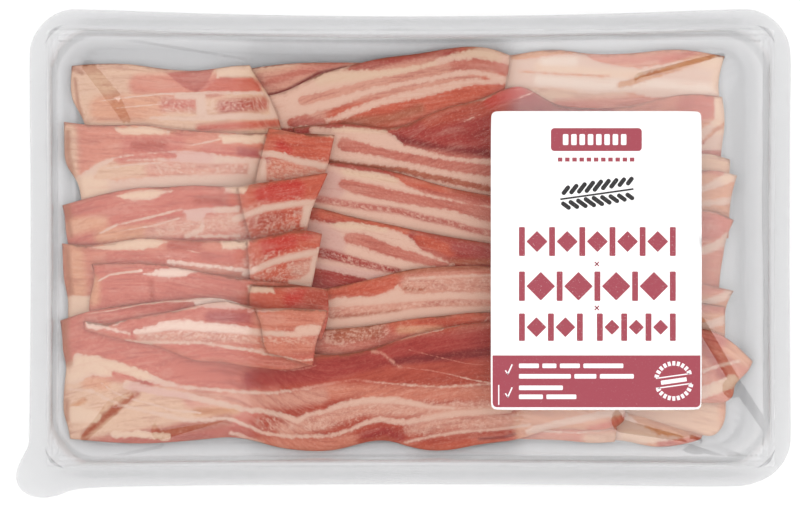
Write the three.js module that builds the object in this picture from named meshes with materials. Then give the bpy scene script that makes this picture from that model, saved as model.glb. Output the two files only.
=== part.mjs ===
// A sealed clear tray pack of thin slices of smoked pork belly, lying flat.
// Millimetres, +X along the pack, +Y across it, +Z up.
// The origin is under the middle of the whole outline, peel corner included, on the resting plane.
import * as THREE from 'three';

// Tray, outer sizes at the flange
const TRAY_LENGTH = 250;
const TRAY_WIDTH = 156;
const TRAY_DEPTH = 14;
const TRAY_CENTRE = [2.5, 2.3];
const TRAY_WALL = 0.5;
const OUTER_CORNER = 15.5;
const OPENING_CORNER = 4.5;
const CAVITY_CORNER = 15.5;
const BOW_TOP = 2.6;
const BOW_BOTTOM = 1.0;
const BOW_END = 0.5;

// Peel corner at the lower left: how far it reaches past the round corner, and its angles about
// the middle of that corner, in degrees
const PEEL_REACH = 10.2;
const PEEL_PEAK = 220.5;
const PEEL_BEFORE = 34;
const PEEL_AFTER = 62;

// Rings of the tray from the middle of the floor out to the lip and back underneath:
// inset from the outer edge, height, corner radius, share of the peel corner
const TRAY_RINGS = [
  [9.5, TRAY_WALL, CAVITY_CORNER - 2, 0],
  [8.3, 1.6, CAVITY_CORNER - 1, 0],
  [7.0, TRAY_DEPTH - 2.0, CAVITY_CORNER, 0],
  [6.8, TRAY_DEPTH - 1.6, OPENING_CORNER, 0],
  [6.3, TRAY_DEPTH, OPENING_CORNER, 0],
  [3.7, TRAY_DEPTH, OUTER_CORNER - 2, 0],
  [3.1, TRAY_DEPTH - 0.5, OUTER_CORNER - 2, 0],
  [2.5, TRAY_DEPTH, OUTER_CORNER - 1, 0.15],
  [0.5, TRAY_DEPTH, OUTER_CORNER, 1],
  [0.0, TRAY_DEPTH - 1.0, OUTER_CORNER, 1],
  [0.5, TRAY_DEPTH - 1.0, OUTER_CORNER, 1],
  [1.0, TRAY_DEPTH - TRAY_WALL, OUTER_CORNER, 1],
  [2.3, TRAY_DEPTH - TRAY_WALL, OUTER_CORNER - 1, 0.15],
  [3.0, TRAY_DEPTH - TRAY_WALL - 0.5, OUTER_CORNER - 2, 0],
  [3.9, TRAY_DEPTH - TRAY_WALL, OUTER_CORNER - 2, 0],
  [5.8, TRAY_DEPTH - TRAY_WALL, OPENING_CORNER, 0],
  [6.3, TRAY_DEPTH - TRAY_WALL - 1.6, OPENING_CORNER, 0],
  [6.5, TRAY_DEPTH - TRAY_WALL - 2.0, CAVITY_CORNER, 0],
  [7.8, 1.2, CAVITY_CORNER - 1, 0],
  [9.2, 0, CAVITY_CORNER - 2, 0],
];

// Points round every ring
const CORNER_STEPS = 8;
const LONG_SIDE_STEPS = 7;
const SHORT_SIDE_STEPS = 5;

// Lid film and label
const FILM_THICK = 0.3;
const FILM_INSET = 0.3;
const FILM_LIFT = 0.15;
const FILM_SAG = 2.4;
const FILM_SLOPE = 0.3;
const FILM_RINGS = [0.96, 0.9, 0.8, 0.64, 0.4];
const LABEL_SIZE = [69.2, 98.1];
const LABEL_CENTRE = [63.6, -2.3];
const LABEL_CORNER = 2;
const LABEL_THICK = 0.25;

// Slices
const SLICE_THICK = 0.95;
const GAP = 0.27;
const SLICE_ROWS = 5;
const FLAP_COLUMNS = 6;
const FOLD_STEPS = 3;
const COLUMN_WIDTH = 7.5;

// Height map of whatever already lies in the tray
const CELL = 0.5;
const MAP_LEFT = -131;
const MAP_LOW = -84;
const MAP_COLUMNS = 524;
const MAP_ROWS = 336;
const SETTLE_ROUNDS = 220;
const SAG_PER_ROUND = 0.45;
const TOUCH_SLACK = 0.04;

// Slices in the order they are laid. Each has a top and a low long edge, from left to right,
// and where they show, the points of its left and right ends, from low to top.
// A slice with a flap is turned back at its right end: the flap lies on the slice,
// shares the fold at its right and ends at its own left edge.
const SLICES = [
  {
    name: 'slice_back',
    top: [[-54, 60.5], [-37.9, 62.8], [-15.9, 63.1], [5.7, 62.8], [22.1, 63.5], [35.6, 65.4],
      [44.4, 67.1], [53.3, 67.4], [61.5, 65.8], [75.9, 66.1], [87.1, 67.4], [94.3, 67.4], [106.4, 65.1]],
    low: [[-54, 50], [-0.8, 50], [38, 40], [71.3, 38], [104.8, 41]],
    right: [[104.8, 52], [104.1, 56.9]],
  },
  {
    name: 'slice_top',
    top: [[-54.6, 50.3], [-43.5, 52.3], [-39.2, 53], [-32, 56.9], [-27.7, 59.5], [-20.8, 60.8],
      [-11.3, 63.8], [-2.8, 65.1], [9.3, 66.4], [16.6, 68.2], [28.7, 68.2], [35.6, 65.4]],
    low: [[-54.6, 34], [-27.1, 33], [-0.8, 33], [20, 40], [33.6, 43]],
    right: [[33.6, 55.3], [34.9, 57.6]],
  },
  {
    name: 'slice_right_1',
    top: [[-36, 41.6], [-18.9, 43.1], [-7.4, 41.5], [-1.8, 40.8], [4.1, 43.5],
      [12.3, 47.7], [22.1, 50], [28.7, 51], [32, 54.3], [36.9, 55.9], [42.8, 55.6], [45.4, 51.7],
      [50.3, 48.7], [71.3, 48.1], [84.5, 51], [94.3, 53], [105.5, 51.7]],
    low: [[-36, 22], [-23.8, 21], [-0.8, 17.5], [32, 9.5], [71.3, 11], [104.8, 22]],
    right: [[105.1, 33.3], [106.4, 41.2], [106.4, 46.4]],
  },
  {
    name: 'slice_right_2',
    top: [[51.7, 29], [77.9, 31.7], [98.9, 33.3], [104.5, 32.6], [108.1, 31]],
    low: [[51.7, 16], [77.9, 17], [107.7, 17]],
  },
  {
    name: 'slice_right_3',
    top: [[49, 20.8], [71.3, 24.8], [98.9, 27.7], [106.1, 27.1], [110.4, 25.7]],
    low: [[49, 6], [77.9, 5], [107.7, 5]],
    right: [[108.1, 16.2], [109.4, 22.8]],
  },
  {
    name: 'slice_right_4',
    top: [[-36, 29.7], [-22.8, 30.3], [-12.3, 28.7], [-0.8, 26.7], [12.3, 22.5],
      [29, 19.2], [51.7, 16.6], [77.9, 14.9], [98.9, 14.3], [105.1, 13.6], [109.4, 11]],
    low: [[-36, 6], [-23.8, 5], [-0.8, -1], [29, -6.5], [64.8, -14], [104.5, -20]],
    right: [[104.8, -5.4], [106.4, 1.1], [105.8, 3.8], [108.1, 7.1]],
  },
  {
    name: 'slice_right_5',
    top: [[-36, 15.6], [-27.1, 15.3], [-18.9, 12.6], [-7.4, 10.3], [12.3, 6.1],
      [29, 3.4], [51.7, -0.8], [77.9, -6.1], [98.9, -10], [103.8, -11], [109.4, -12.3]],
    low: [[-36, -22], [-23.8, -20], [-0.8, -16], [29, -14], [64.8, -20], [106.1, -28]],
    right: [[106.4, -20.2], [107.1, -16.2]],
  },
  {
    name: 'slice_right_6',
    top: [[-36, -13.3], [-27.7, -12], [-18.9, -10.3], [-7.4, -7.7], [2.1, -5.1],
      [11.3, -4.4], [29, -4.1], [51.7, -7.4], [77.9, -12.6], [98.9, -16.2], [106.4, -17.5]],
    low: [[-36, -34], [-23.8, -33], [-0.8, -31], [29, -28.5], [64.8, -31], [106.3, -36]],
    right: [[106.4, -23.5]],
  },
  {
    name: 'slice_end_1',
    top: [[51.7, -48.1], [77.9, -47.4], [98.6, -56.3]],
    low: [[51.7, -59.9], [64.8, -61.2], [74, -61.5], [77.9, -63.5], [86.8, -64.3], [98.6, -61.5]],
    right: [[99.2, -59.2]],
  },
  {
    name: 'slice_end_2',
    top: [[64.8, -44.1], [84.5, -43.5], [106.8, -48.1]],
    low: [[64.8, -50.7], [76.3, -53], [87.1, -56.6], [101.5, -60.8]],
    right: [[104.5, -58.9], [106.4, -55.3], [106.8, -51.3]],
  },
  {
    name: 'slice_right_7',
    top: [[-36, -26.4], [-25.4, -25.1], [-10.7, -23.8], [4.4, -21.2], [14.6, -20.5], [20.2, -19.5],
      [29, -19.2], [51.7, -20.5], [77.9, -22.5], [100.9, -24.8], [107.4, -28.7], [113.7, -32],
      [115.6, -35.6]],
    low: [[-36, -42], [-23.8, -42], [5.7, -38], [32, -36], [60, -42], [80, -48.5], [106.8, -49.4]],
    right: [[109.7, -46.7], [109.4, -43.5], [114.3, -38.9]],
  },
  {
    name: 'slice_end_3',
    top: [[22.1, -48.1], [45.1, -47.4], [70.4, -52]],
    low: [[22.1, -59.9], [32, -61.2], [51.7, -61.5], [60.5, -62.6], [66.4, -63.1], [70, -62.2]],
    right: [[70.7, -59.9], [70.7, -56.3]],
  },
  {
    name: 'slice_left_1',
    top: [[-109.2, 62], [-99.2, 62.8], [-87.4, 62.5], [-83.1, 61.5], [-79.5, 62], [-76.9, 60.8],
      [-66.4, 60.2], [-59.2, 61.8], [-50.3, 62.2]],
    low: [[-104.5, 34], [-82.8, 33.5], [-59.9, 31], [-38.5, 33]],
    left: [[-104.1, 43.5], [-108.4, 47.7], [-109.7, 52], [-109.7, 56.6], [-107.7, 59.2]],
    right: [[-40.8, 45.4], [-44.1, 52.6], [-47.4, 56.9]],
  },
  {
    name: 'slice_left_2',
    top: [[-111.7, 43.5], [-107.4, 42.5], [-95.3, 42.3], [-86.1, 43], [-81.2, 41.5], [-66.4, 40.5],
      [-51, 39.5], [-36.9, 39.9], [-23.5, 39.2]],
    low: [[-105.8, 9], [-82.8, 13], [-56.6, 14], [-30.8, 15.5]],
    left: [[-106.4, 23.1], [-110.4, 26.1], [-111.7, 29], [-111.8, 35.6], [-110.7, 39.5]],
    right: [[-28.7, 22.5], [-25.4, 29]],
    flap: {
      top: [[-44.1, 41.5], [-38.5, 40.5], [-29.7, 38.9], [-23.5, 39.2]],
      low: [[-49.5, 14.5], [-40.2, 15], [-30.8, 15.5]],
      left: [[-48.7, 23.1], [-46.1, 33.9]],
    },
  },
  {
    name: 'slice_left_3',
    top: [[-112.3, 15.9], [-109.1, 16.2], [-101.8, 19.2], [-95.3, 20.5], [-85.4, 22.1], [-81.2, 21.5],
      [-69.7, 22.8], [-54.3, 21.8], [-40.2, 24.1], [-25.4, 26.7]],
    low: [[-109, -6], [-82.8, -4], [-56.6, -4], [-34, -2.5]],
    left: [[-110.4, 3.4], [-111.7, 10.3], [-111, 13]],
    right: [[-32, 10.3], [-30.3, 16.6], [-28, 20.8]],
    flap: {
      top: [[-54.3, 21.8], [-48.4, 23.1], [-40.8, 24.1], [-33.6, 25.1], [-25.4, 26.7]],
      low: [[-50.5, -4], [-42, -3.5], [-34, -2.5]],
      left: [[-50, 5.1], [-52.3, 12]],
    },
  },
  {
    name: 'slice_left_4',
    top: [[-112.3, 3.4], [-109.1, 2.5], [-97.6, 3.1], [-85.4, 5.7], [-81.2, 5.1], [-69.7, 4.4],
      [-51, 4.4], [-36.9, 7.1], [-27.4, 6.7]],
    low: [[-109.7, -28], [-97, -26], [-82.8, -17], [-56.6, -18], [-33.6, -19.5]],
    left: [[-110.7, -21.2], [-111, -16.9], [-110, -14.3], [-112, -8.7], [-112.3, -2.8], [-110.7, -0.8]],
    right: [[-31, -12], [-29.7, -4.8], [-28.4, 1.1]],
    flap: {
      top: [[-51.3, 4.1], [-43.5, 5.7], [-33.6, 8], [-27.4, 6.7]],
      low: [[-50, -19], [-42, -19.2], [-33.6, -19.5]],
      left: [[-50, -12], [-50.7, -2.8]],
    },
  },
  {
    name: 'slice_left_5',
    top: [[-102.5, -3.4], [-84.5, -3.1], [-76.3, -4.1], [-66.4, -6.1], [-53, -8.4], [-38.5, -9.7],
      [-25.4, -11.6]],
    low: [[-102.8, -27], [-82.8, -25], [-56.6, -26], [-27.5, -28]],
    left: [[-103.2, -18.9], [-103.8, -15.3], [-101.2, -8.7], [-102.2, -6.1]],
    right: [[-25.4, -21.2], [-25.4, -15.3]],
    flap: {
      top: [[-49.7, -10.7], [-40.2, -11], [-32, -10.7], [-25.4, -11.6]],
      low: [[-49.5, -27], [-40.2, -27.5], [-27.5, -28]],
      left: [[-50.7, -15.3]],
    },
  },
  {
    name: 'slice_front',
    rows: 8,
    top: [[-113, -22.1], [-110, -20.8], [-103.2, -18.7], [-94.6, -17.4], [-85.8, -16.1], [-76.6, -15.3],
      [-61.2, -14.1], [-52.6, -15.9], [-46.1, -21.8], [-36.9, -30], [-27.7, -33.9], [-11.6, -32],
      [-0.8, -28], [10, -25.1], [25.4, -22.5], [38.5, -22.5], [51.7, -26.7], [64.8, -36.6], [72, -47.4]],
    low: [[-109.7, -61.2], [-95.9, -62.5], [-82.8, -62.8], [-66.4, -61.5], [-54, -60.5], [-42.8, -63.8],
      [-33.6, -65.1], [-22.8, -65.4], [-17.2, -63.5], [-6.7, -61.2], [-0.8, -62.8], [5.7, -65.1],
      [15.6, -65.1], [22.1, -63.5], [38.5, -61.5]],
    left: [[-111, -60.2], [-110.4, -54.9], [-112, -53.6], [-111.7, -43.1], [-110.7, -36.9],
      [-112, -33.3], [-112.7, -29.4], [-112, -26.1]],
    right: [[42.1, -60.2], [46.7, -58.2], [56.6, -57.9], [66.4, -58.5], [74, -55.9], [74.9, -54],
      [73.3, -51.7]],
  },
  {
    name: 'slice_upper',
    top: [[-105.1, -22.1], [-101.8, -21.6], [-97.9, -23.5], [-94.6, -23.1], [-89.7, -21.2],
      [-76.6, -19.4], [-65.4, -16.2], [-56.9, -15.3], [-48.4, -17.9], [-36.9, -18.2], [-25.4, -18.5]],
    low: [[-104.8, -25.1], [-99.2, -26.7], [-90.7, -29], [-78.9, -31], [-67.7, -36.2], [-61.2, -35.3],
      [-54.9, -36.9], [-45.1, -37.9], [-38.5, -38.9], [-30.7, -36.9]],
    right: [[-30, -33.6], [-29.4, -28.7], [-27.4, -24.1]],
    flap: {
      top: [[-48.7, -18.2], [-36.9, -17.9], [-25.4, -18.5]],
      low: [[-44.1, -33], [-38.5, -34.3], [-30.7, -36.9]],
      left: [[-45.8, -30], [-46.4, -23.5]],
    },
  },
];

// Colours
const MEAT_COLOURS = ['#c66f63', '#d08678', '#b95c50', '#d6958a'];
const CLEAR_PLASTIC = '#dfe3e6';
const LABEL_WHITE = '#fbf8f6';

const clamp = (value, low, high) => Math.min(high, Math.max(low, value));
const smooth = (t) => t * t * (3 - 2 * t);

// How far the peel corner reaches out at an angle about the middle of its corner
function peelReach(degrees) {
  const width = degrees < PEEL_PEAK ? PEEL_BEFORE : PEEL_AFTER;
  const turn = Math.abs(degrees - PEEL_PEAK) / width;
  return turn < 1 ? PEEL_REACH * Math.cos((Math.PI / 2) * turn) ** 2 : 0;
}

// A ring round the pack: a rounded rectangle with bowed sides, from its lower left corner on
function ringPoints(inset, radius, peelShare, scale = 1) {
  const halfX = (TRAY_LENGTH / 2 - inset) * scale;
  const halfY = (TRAY_WIDTH / 2 - inset) * scale;
  const round = radius * scale;
  const corners = [[-1, -1], [1, -1], [1, 1], [-1, 1]];
  const points = [];
  corners.forEach(([signX, signY], corner) => {
    const middle = [signX * (halfX - round), signY * (halfY - round)];
    for (let step = 0; step <= CORNER_STEPS; step += 1) {
      const degrees = 180 + 90 * (corner + step / CORNER_STEPS);
      const angle = (degrees * Math.PI) / 180;
      const reach = round + peelShare * peelReach(degrees);
      points.push([middle[0] + Math.cos(angle) * reach, middle[1] + Math.sin(angle) * reach]);
    }
    const last = points[points.length - 1];
    const next = corners[(corner + 1) % 4];
    const alongX = signX !== next[0];
    const sideSteps = alongX ? LONG_SIDE_STEPS : SHORT_SIDE_STEPS;
    const run = 2 * (alongX ? halfX - round : halfY - round);
    for (let step = 1; step < sideSteps; step += 1) {
      const move = (run * step) / sideSteps;
      points.push([
        last[0] + (alongX ? next[0] * move : 0),
        last[1] + (alongX ? 0 : next[1] * move),
      ]);
    }
  });
  return points.map(([x, y]) => {
    const bowY = y > 0 ? -BOW_TOP : BOW_BOTTOM;
    const shiftY = bowY * Math.max(0, 1 - (x / (halfX - round)) ** 2) * scale;
    const shiftX = -Math.sign(x) * BOW_END * Math.max(0, 1 - (y / (halfY - round)) ** 2) * scale;
    return [TRAY_CENTRE[0] + x + shiftX, TRAY_CENTRE[1] + y + shiftY];
  });
}

// A closed solid from rings with equal counts; both ends are closed to a middle point
function solidFromRings(rings, heights, firstMiddle, lastMiddle) {
  const count = rings[0].length;
  const positions = [];
  rings.forEach((ring, index) => {
    ring.forEach(([x, y]) => positions.push([x, y, heights[index]]));
  });
  const first = positions.push(firstMiddle) - 1;
  const last = positions.push(lastMiddle) - 1;
  const triangles = [];
  for (let i = 0; i < count; i += 1) {
    const next = (i + 1) % count;
    triangles.push([first, i, next]);
    for (let ring = 0; ring < rings.length - 1; ring += 1) {
      const here = ring * count;
      const out = here + count;
      triangles.push([here + i, out + i, out + next]);
      triangles.push([here + i, out + next, here + next]);
    }
    const end = (rings.length - 1) * count;
    triangles.push([last, end + next, end + i]);
  }
  return { positions, triangles };
}

// Catmull-Rom curve through the points, by share of its length
function curveThrough(points) {
  const lengths = [0];
  for (let i = 1; i < points.length; i += 1) {
    const step = Math.hypot(points[i][0] - points[i - 1][0], points[i][1] - points[i - 1][1]);
    lengths.push(lengths[i - 1] + step);
  }
  const total = lengths[lengths.length - 1];
  return (share) => {
    const want = clamp(share, 0, 1) * total;
    let i = 1;
    while (i < points.length - 1 && lengths[i] < want) i += 1;
    const t = (want - lengths[i - 1]) / (lengths[i] - lengths[i - 1] || 1);
    const before = points[Math.max(0, i - 2)];
    const from = points[i - 1];
    const to = points[i];
    const after = points[Math.min(points.length - 1, i + 1)];
    return [0, 1].map((axis) => {
      const slopeFrom = (to[axis] - before[axis]) / 2;
      const slopeTo = (after[axis] - from[axis]) / 2;
      const rise = to[axis] - from[axis];
      return from[axis] + slopeFrom * t + (3 * rise - 2 * slopeFrom - slopeTo) * t * t
        + (slopeFrom + slopeTo - 2 * rise) * t * t * t;
    });
  };
}

// Plan of a slice: a patch between its four outline curves, u to the right and v upwards
function patchPlan(shape, rightInner) {
  const lowEnd = shape.low[shape.low.length - 1];
  const topEnd = shape.top[shape.top.length - 1];
  const top = curveThrough(shape.top);
  const low = curveThrough(shape.low);
  const left = curveThrough([shape.low[0], ...(shape.left || []), shape.top[0]]);
  const right = curveThrough([lowEnd, ...(rightInner || []), topEnd]);
  return (u, v) => [0, 1].map((axis) => {
    const across = (1 - v) * low(u)[axis] + v * top(u)[axis];
    const along = (1 - u) * left(v)[axis] + u * right(v)[axis];
    const corners = (1 - u) * ((1 - v) * shape.low[0][axis] + v * shape.top[0][axis])
      + u * ((1 - v) * lowEnd[axis] + v * topEnd[axis]);
    return across + along - corners;
  });
}

// Grid of plan points with its triangles
function gridSheet(plan, columns, rows) {
  const points = [];
  const triangles = [];
  for (let i = 0; i <= columns; i += 1) {
    for (let j = 0; j <= rows; j += 1) points.push(plan(i / columns, j / rows));
  }
  const at = (i, j) => i * (rows + 1) + j;
  for (let i = 0; i < columns; i += 1) {
    for (let j = 0; j < rows; j += 1) {
      triangles.push([at(i, j), at(i + 1, j), at(i + 1, j + 1)]);
      triangles.push([at(i, j), at(i + 1, j + 1), at(i, j + 1)]);
    }
  }
  return { points, triangles };
}

// Height map
const heightMap = new Float64Array(MAP_COLUMNS * MAP_ROWS);

// Cells under a triangle, with the shares of its three corners
function cellsUnder(a, b, c, visit) {
  const area = (b[0] - a[0]) * (c[1] - a[1]) - (c[0] - a[0]) * (b[1] - a[1]);
  if (Math.abs(area) < 1e-9) return;
  const firstColumn = Math.floor((Math.min(a[0], b[0], c[0]) - MAP_LEFT) / CELL) - 1;
  const lastColumn = Math.ceil((Math.max(a[0], b[0], c[0]) - MAP_LEFT) / CELL) + 1;
  const firstRow = Math.floor((Math.min(a[1], b[1], c[1]) - MAP_LOW) / CELL) - 1;
  const lastRow = Math.ceil((Math.max(a[1], b[1], c[1]) - MAP_LOW) / CELL) + 1;
  for (let column = firstColumn; column <= lastColumn; column += 1) {
    const x = MAP_LEFT + (column + 0.5) * CELL;
    for (let row = firstRow; row <= lastRow; row += 1) {
      const y = MAP_LOW + (row + 0.5) * CELL;
      const shareB = ((x - a[0]) * (c[1] - a[1]) - (c[0] - a[0]) * (y - a[1])) / area;
      const shareC = ((b[0] - a[0]) * (y - a[1]) - (x - a[0]) * (b[1] - a[1])) / area;
      const shareA = 1 - shareB - shareC;
      if (shareA >= -1e-6 && shareB >= -1e-6 && shareC >= -1e-6) {
        visit(row * MAP_COLUMNS + column, shareA, shareB, shareC);
      }
    }
  }
}

function raiseMap(solid) {
  solid.triangles.forEach(([a, b, c]) => {
    const corners = [solid.positions[a], solid.positions[b], solid.positions[c]];
    cellsUnder(...corners, (cell, shareA, shareB, shareC) => {
      const height = shareA * corners[0][2] + shareB * corners[1][2] + shareC * corners[2][2];
      heightMap[cell] = Math.max(heightMap[cell], height);
    });
    corners.forEach((corner) => {
      const column = Math.floor((corner[0] - MAP_LEFT) / CELL);
      const row = Math.floor((corner[1] - MAP_LOW) / CELL);
      const cell = row * MAP_COLUMNS + column;
      heightMap[cell] = Math.max(heightMap[cell], corner[2]);
    });
  });
}

// Highest point of the map in the cell and the cells round it
function supportAt(cell) {
  let height = 0;
  for (let row = -1; row <= 1; row += 1) {
    for (let column = -1; column <= 1; column += 1) {
      height = Math.max(height, heightMap[cell + row * MAP_COLUMNS + column]);
    }
  }
  return height;
}

// Lower a sheet onto the map: every point goes as low as the target and the support allow
function settle(sheet, gap, rounds, target) {
  const samples = [];
  const samplesOf = sheet.points.map(() => []);
  const height = new Float64Array(sheet.points.length).fill(0);
  sheet.triangles.forEach((triangle) => {
    const corners = triangle.map((index) => sheet.points[index]);
    const add = (cell, shareA, shareB, shareC) => {
      const sample = { need: supportAt(cell) + gap, triangle, shares: [shareA, shareB, shareC] };
      samples.push(sample);
      triangle.forEach((index, corner) => samplesOf[index].push([sample, corner]));
    };
    cellsUnder(...corners, add);
    corners.forEach((corner, place) => {
      const column = Math.floor((corner[0] - MAP_LEFT) / CELL);
      const row = Math.floor((corner[1] - MAP_LOW) / CELL);
      add(row * MAP_COLUMNS + column, ...[0, 1, 2].map((other) => (other === place ? 1 : 0)));
    });
  });
  samples.forEach(({ need, triangle }) => {
    triangle.forEach((index) => {
      height[index] = Math.max(height[index], need);
    });
  });
  const lowest = (index) => {
    let bound = 0;
    samplesOf[index].forEach(([sample, corner]) => {
      const share = sample.shares[corner];
      if (share < 1e-3) return;
      let rest = sample.need - TOUCH_SLACK;
      sample.triangle.forEach((other, place) => {
        if (place !== corner) rest -= sample.shares[place] * height[other];
      });
      bound = Math.max(bound, rest / share);
    });
    return bound;
  };
  for (let round = 0; round < rounds; round += 1) {
    for (let index = 0; index < height.length; index += 1) {
      height[index] = Math.max(lowest(index), target(index, height));
    }
  }
  return height;
}

// Target heights of a limp sheet: the mean of its neighbours, a little lower
function limpTarget(sheet) {
  const neighbours = sheet.points.map(() => new Set());
  sheet.triangles.forEach((triangle) => {
    triangle.forEach((index) => triangle.forEach((other) => neighbours[index].add(other)));
  });
  const lists = neighbours.map((set, index) => [...set].filter((other) => other !== index));
  return (index, height) => {
    const sum = lists[index].reduce((total, other) => total + height[other], 0);
    return sum / lists[index].length - SAG_PER_ROUND;
  };
}

// A closed solid from two faces on the same grid; the upper face looks up where the sheet lies flat
function solidFromFaces(upper, lower) {
  const columns = upper.length - 1;
  const rows = upper[0].length - 1;
  const positions = [...upper.flat(), ...lower.flat()];
  const offset = (columns + 1) * (rows + 1);
  const at = (i, j) => i * (rows + 1) + j;
  const triangles = [];
  for (let i = 0; i < columns; i += 1) {
    for (let j = 0; j < rows; j += 1) {
      const [a, b, c, d] = [at(i, j), at(i + 1, j), at(i + 1, j + 1), at(i, j + 1)];
      triangles.push([a, b, c], [a, c, d]);
      triangles.push([offset + a, offset + c, offset + b], [offset + a, offset + d, offset + c]);
    }
  }
  const rim = [];
  for (let i = 0; i < columns; i += 1) rim.push(at(i, 0));
  for (let j = 0; j < rows; j += 1) rim.push(at(columns, j));
  for (let i = columns; i > 0; i -= 1) rim.push(at(i, rows));
  for (let j = rows; j > 0; j -= 1) rim.push(at(0, j));
  rim.forEach((here, place) => {
    const next = rim[(place + 1) % rim.length];
    triangles.push([offset + here, offset + next, next], [offset + here, next, here]);
  });
  return { positions, triangles };
}

// The slice lying flat, as far as its right end or fold
function layPatch(plan, columns, rows) {
  const sheet = gridSheet(plan, columns, rows);
  const height = settle(sheet, GAP, SETTLE_ROUNDS, limpTarget(sheet));
  const lower = [];
  const upper = [];
  for (let i = 0; i <= columns; i += 1) {
    const column = sheet.points.slice(i * (rows + 1), (i + 1) * (rows + 1));
    const base = i * (rows + 1);
    lower.push(column.map(([x, y], j) => [x, y, height[base + j]]));
    upper.push(column.map(([x, y], j) => [x, y, height[base + j] + SLICE_THICK]));
  }
  return { lower, upper };
}

// Columns of the fold, a half turn from the slice up to its flap
function foldColumns(under, over) {
  const innerColumns = [];
  const outerColumns = [];
  for (let step = 1; step < FOLD_STEPS + 1; step += 1) {
    const angle = Math.PI * (step / (FOLD_STEPS + 1) - 0.5);
    const inner = [];
    const outer = [];
    under.upper.forEach((from, j) => {
      const to = over.lower[j];
      const before = under.upper[Math.max(0, j - 1)];
      const after = under.upper[Math.min(under.upper.length - 1, j + 1)];
      const along = [after[0] - before[0], after[1] - before[1]];
      const length = Math.hypot(...along);
      const out = [along[1] / length, -along[0] / length];
      const radius = (to[2] - from[2]) / 2;
      const middle = (to[2] + from[2]) / 2;
      const place = (reach) => [
        from[0] + out[0] * reach * Math.cos(angle),
        from[1] + out[1] * reach * Math.cos(angle),
        middle + reach * Math.sin(angle),
      ];
      inner.push(place(radius));
      outer.push(place(radius + SLICE_THICK));
    });
    innerColumns.push(inner);
    outerColumns.push(outer);
  }
  return { innerColumns, outerColumns };
}

function laySlice(shape) {
  const rows = shape.rows || SLICE_ROWS;
  const first = shape.low[0];
  const last = shape.low[shape.low.length - 1];
  const columns = Math.max(5, Math.round(Math.hypot(last[0] - first[0], last[1] - first[1]) / COLUMN_WIDTH));
  const slice = layPatch(patchPlan(shape, shape.right), columns, rows);
  if (!shape.flap) {
    const solid = solidFromFaces(slice.upper, slice.lower);
    raiseMap(solid);
    return solid;
  }
  raiseMap(solidFromFaces(slice.upper, slice.lower));
  const flap = layPatch(patchPlan(shape.flap, shape.right), FLAP_COLUMNS, rows);
  const fold = foldColumns(
    { upper: slice.upper[columns] },
    { lower: flap.lower[FLAP_COLUMNS] },
  );
  const inner = [...slice.upper, ...fold.innerColumns, ...[...flap.lower].reverse()];
  const outer = [...slice.lower, ...fold.outerColumns, ...[...flap.upper].reverse()];
  const solid = solidFromFaces(inner, outer);
  raiseMap(solid);
  return solid;
}

function trayBody() {
  const rings = TRAY_RINGS.map(([inset, , radius, peel]) => ringPoints(inset, radius, peel));
  const heights = TRAY_RINGS.map((ring) => ring[1]);
  const [x, y] = TRAY_CENTRE;
  return solidFromRings(rings, heights, [x, y, TRAY_WALL], [x, y, 0]);
}

// A sheet of rings round a middle, as plan points and triangles
function ringSheet(rings, middle) {
  const count = rings[0].length;
  const points = [...rings.flat(), middle];
  const triangles = [];
  for (let i = 0; i < count; i += 1) {
    const next = (i + 1) % count;
    for (let ring = 0; ring < rings.length - 1; ring += 1) {
      const here = ring * count;
      triangles.push([here + i, here + next, here + count + next]);
      triangles.push([here + i, here + count + next, here + count + i]);
    }
    const inside = (rings.length - 1) * count;
    triangles.push([inside + i, inside + next, points.length - 1]);
  }
  return { points, triangles, rim: count };
}

// A closed solid from a ring sheet, its heights and a thickness
function solidFromSheet(sheet, height, thickness) {
  const count = sheet.points.length;
  const positions = [];
  sheet.points.forEach(([x, y], index) => positions.push([x, y, height[index] + thickness]));
  sheet.points.forEach(([x, y], index) => positions.push([x, y, height[index]]));
  const triangles = [];
  sheet.triangles.forEach(([a, b, c]) => {
    triangles.push([a, b, c], [count + a, count + c, count + b]);
  });
  for (let i = 0; i < sheet.rim; i += 1) {
    const next = (i + 1) % sheet.rim;
    triangles.push([count + i, count + next, next], [count + i, next, i]);
  }
  return { positions, triangles };
}

// Film height over a plan point: flat on the flange, then down towards the slices
function filmHeight([x, y]) {
  const opening = 6.3;
  const reachX = Math.abs(x - TRAY_CENTRE[0]) / (TRAY_LENGTH / 2 - opening);
  const reachY = Math.abs(y - TRAY_CENTRE[1]) / (TRAY_WIDTH / 2 - opening);
  const inward = clamp((1 - Math.max(reachX, reachY)) / FILM_SLOPE, 0, 1);
  return TRAY_DEPTH + FILM_LIFT - FILM_SAG * smooth(inward);
}

function lidFilm() {
  const rings = [
    ringPoints(FILM_INSET, OUTER_CORNER, 1),
    ringPoints(2.5, OUTER_CORNER - 1, 0.15),
    ringPoints(6.0, OPENING_CORNER, 0),
    ...FILM_RINGS.map((scale) => ringPoints(6.0, OUTER_CORNER, 0, scale)),
  ];
  const sheet = ringSheet(rings, TRAY_CENTRE);
  const flat = 3 * sheet.rim;
  const height = settle(sheet, GAP, 60, (index) => filmHeight(sheet.points[index]));
  for (let index = 0; index < flat; index += 1) height[index] = TRAY_DEPTH + FILM_LIFT;
  return solidFromSheet(sheet, height, FILM_THICK);
}

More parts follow.
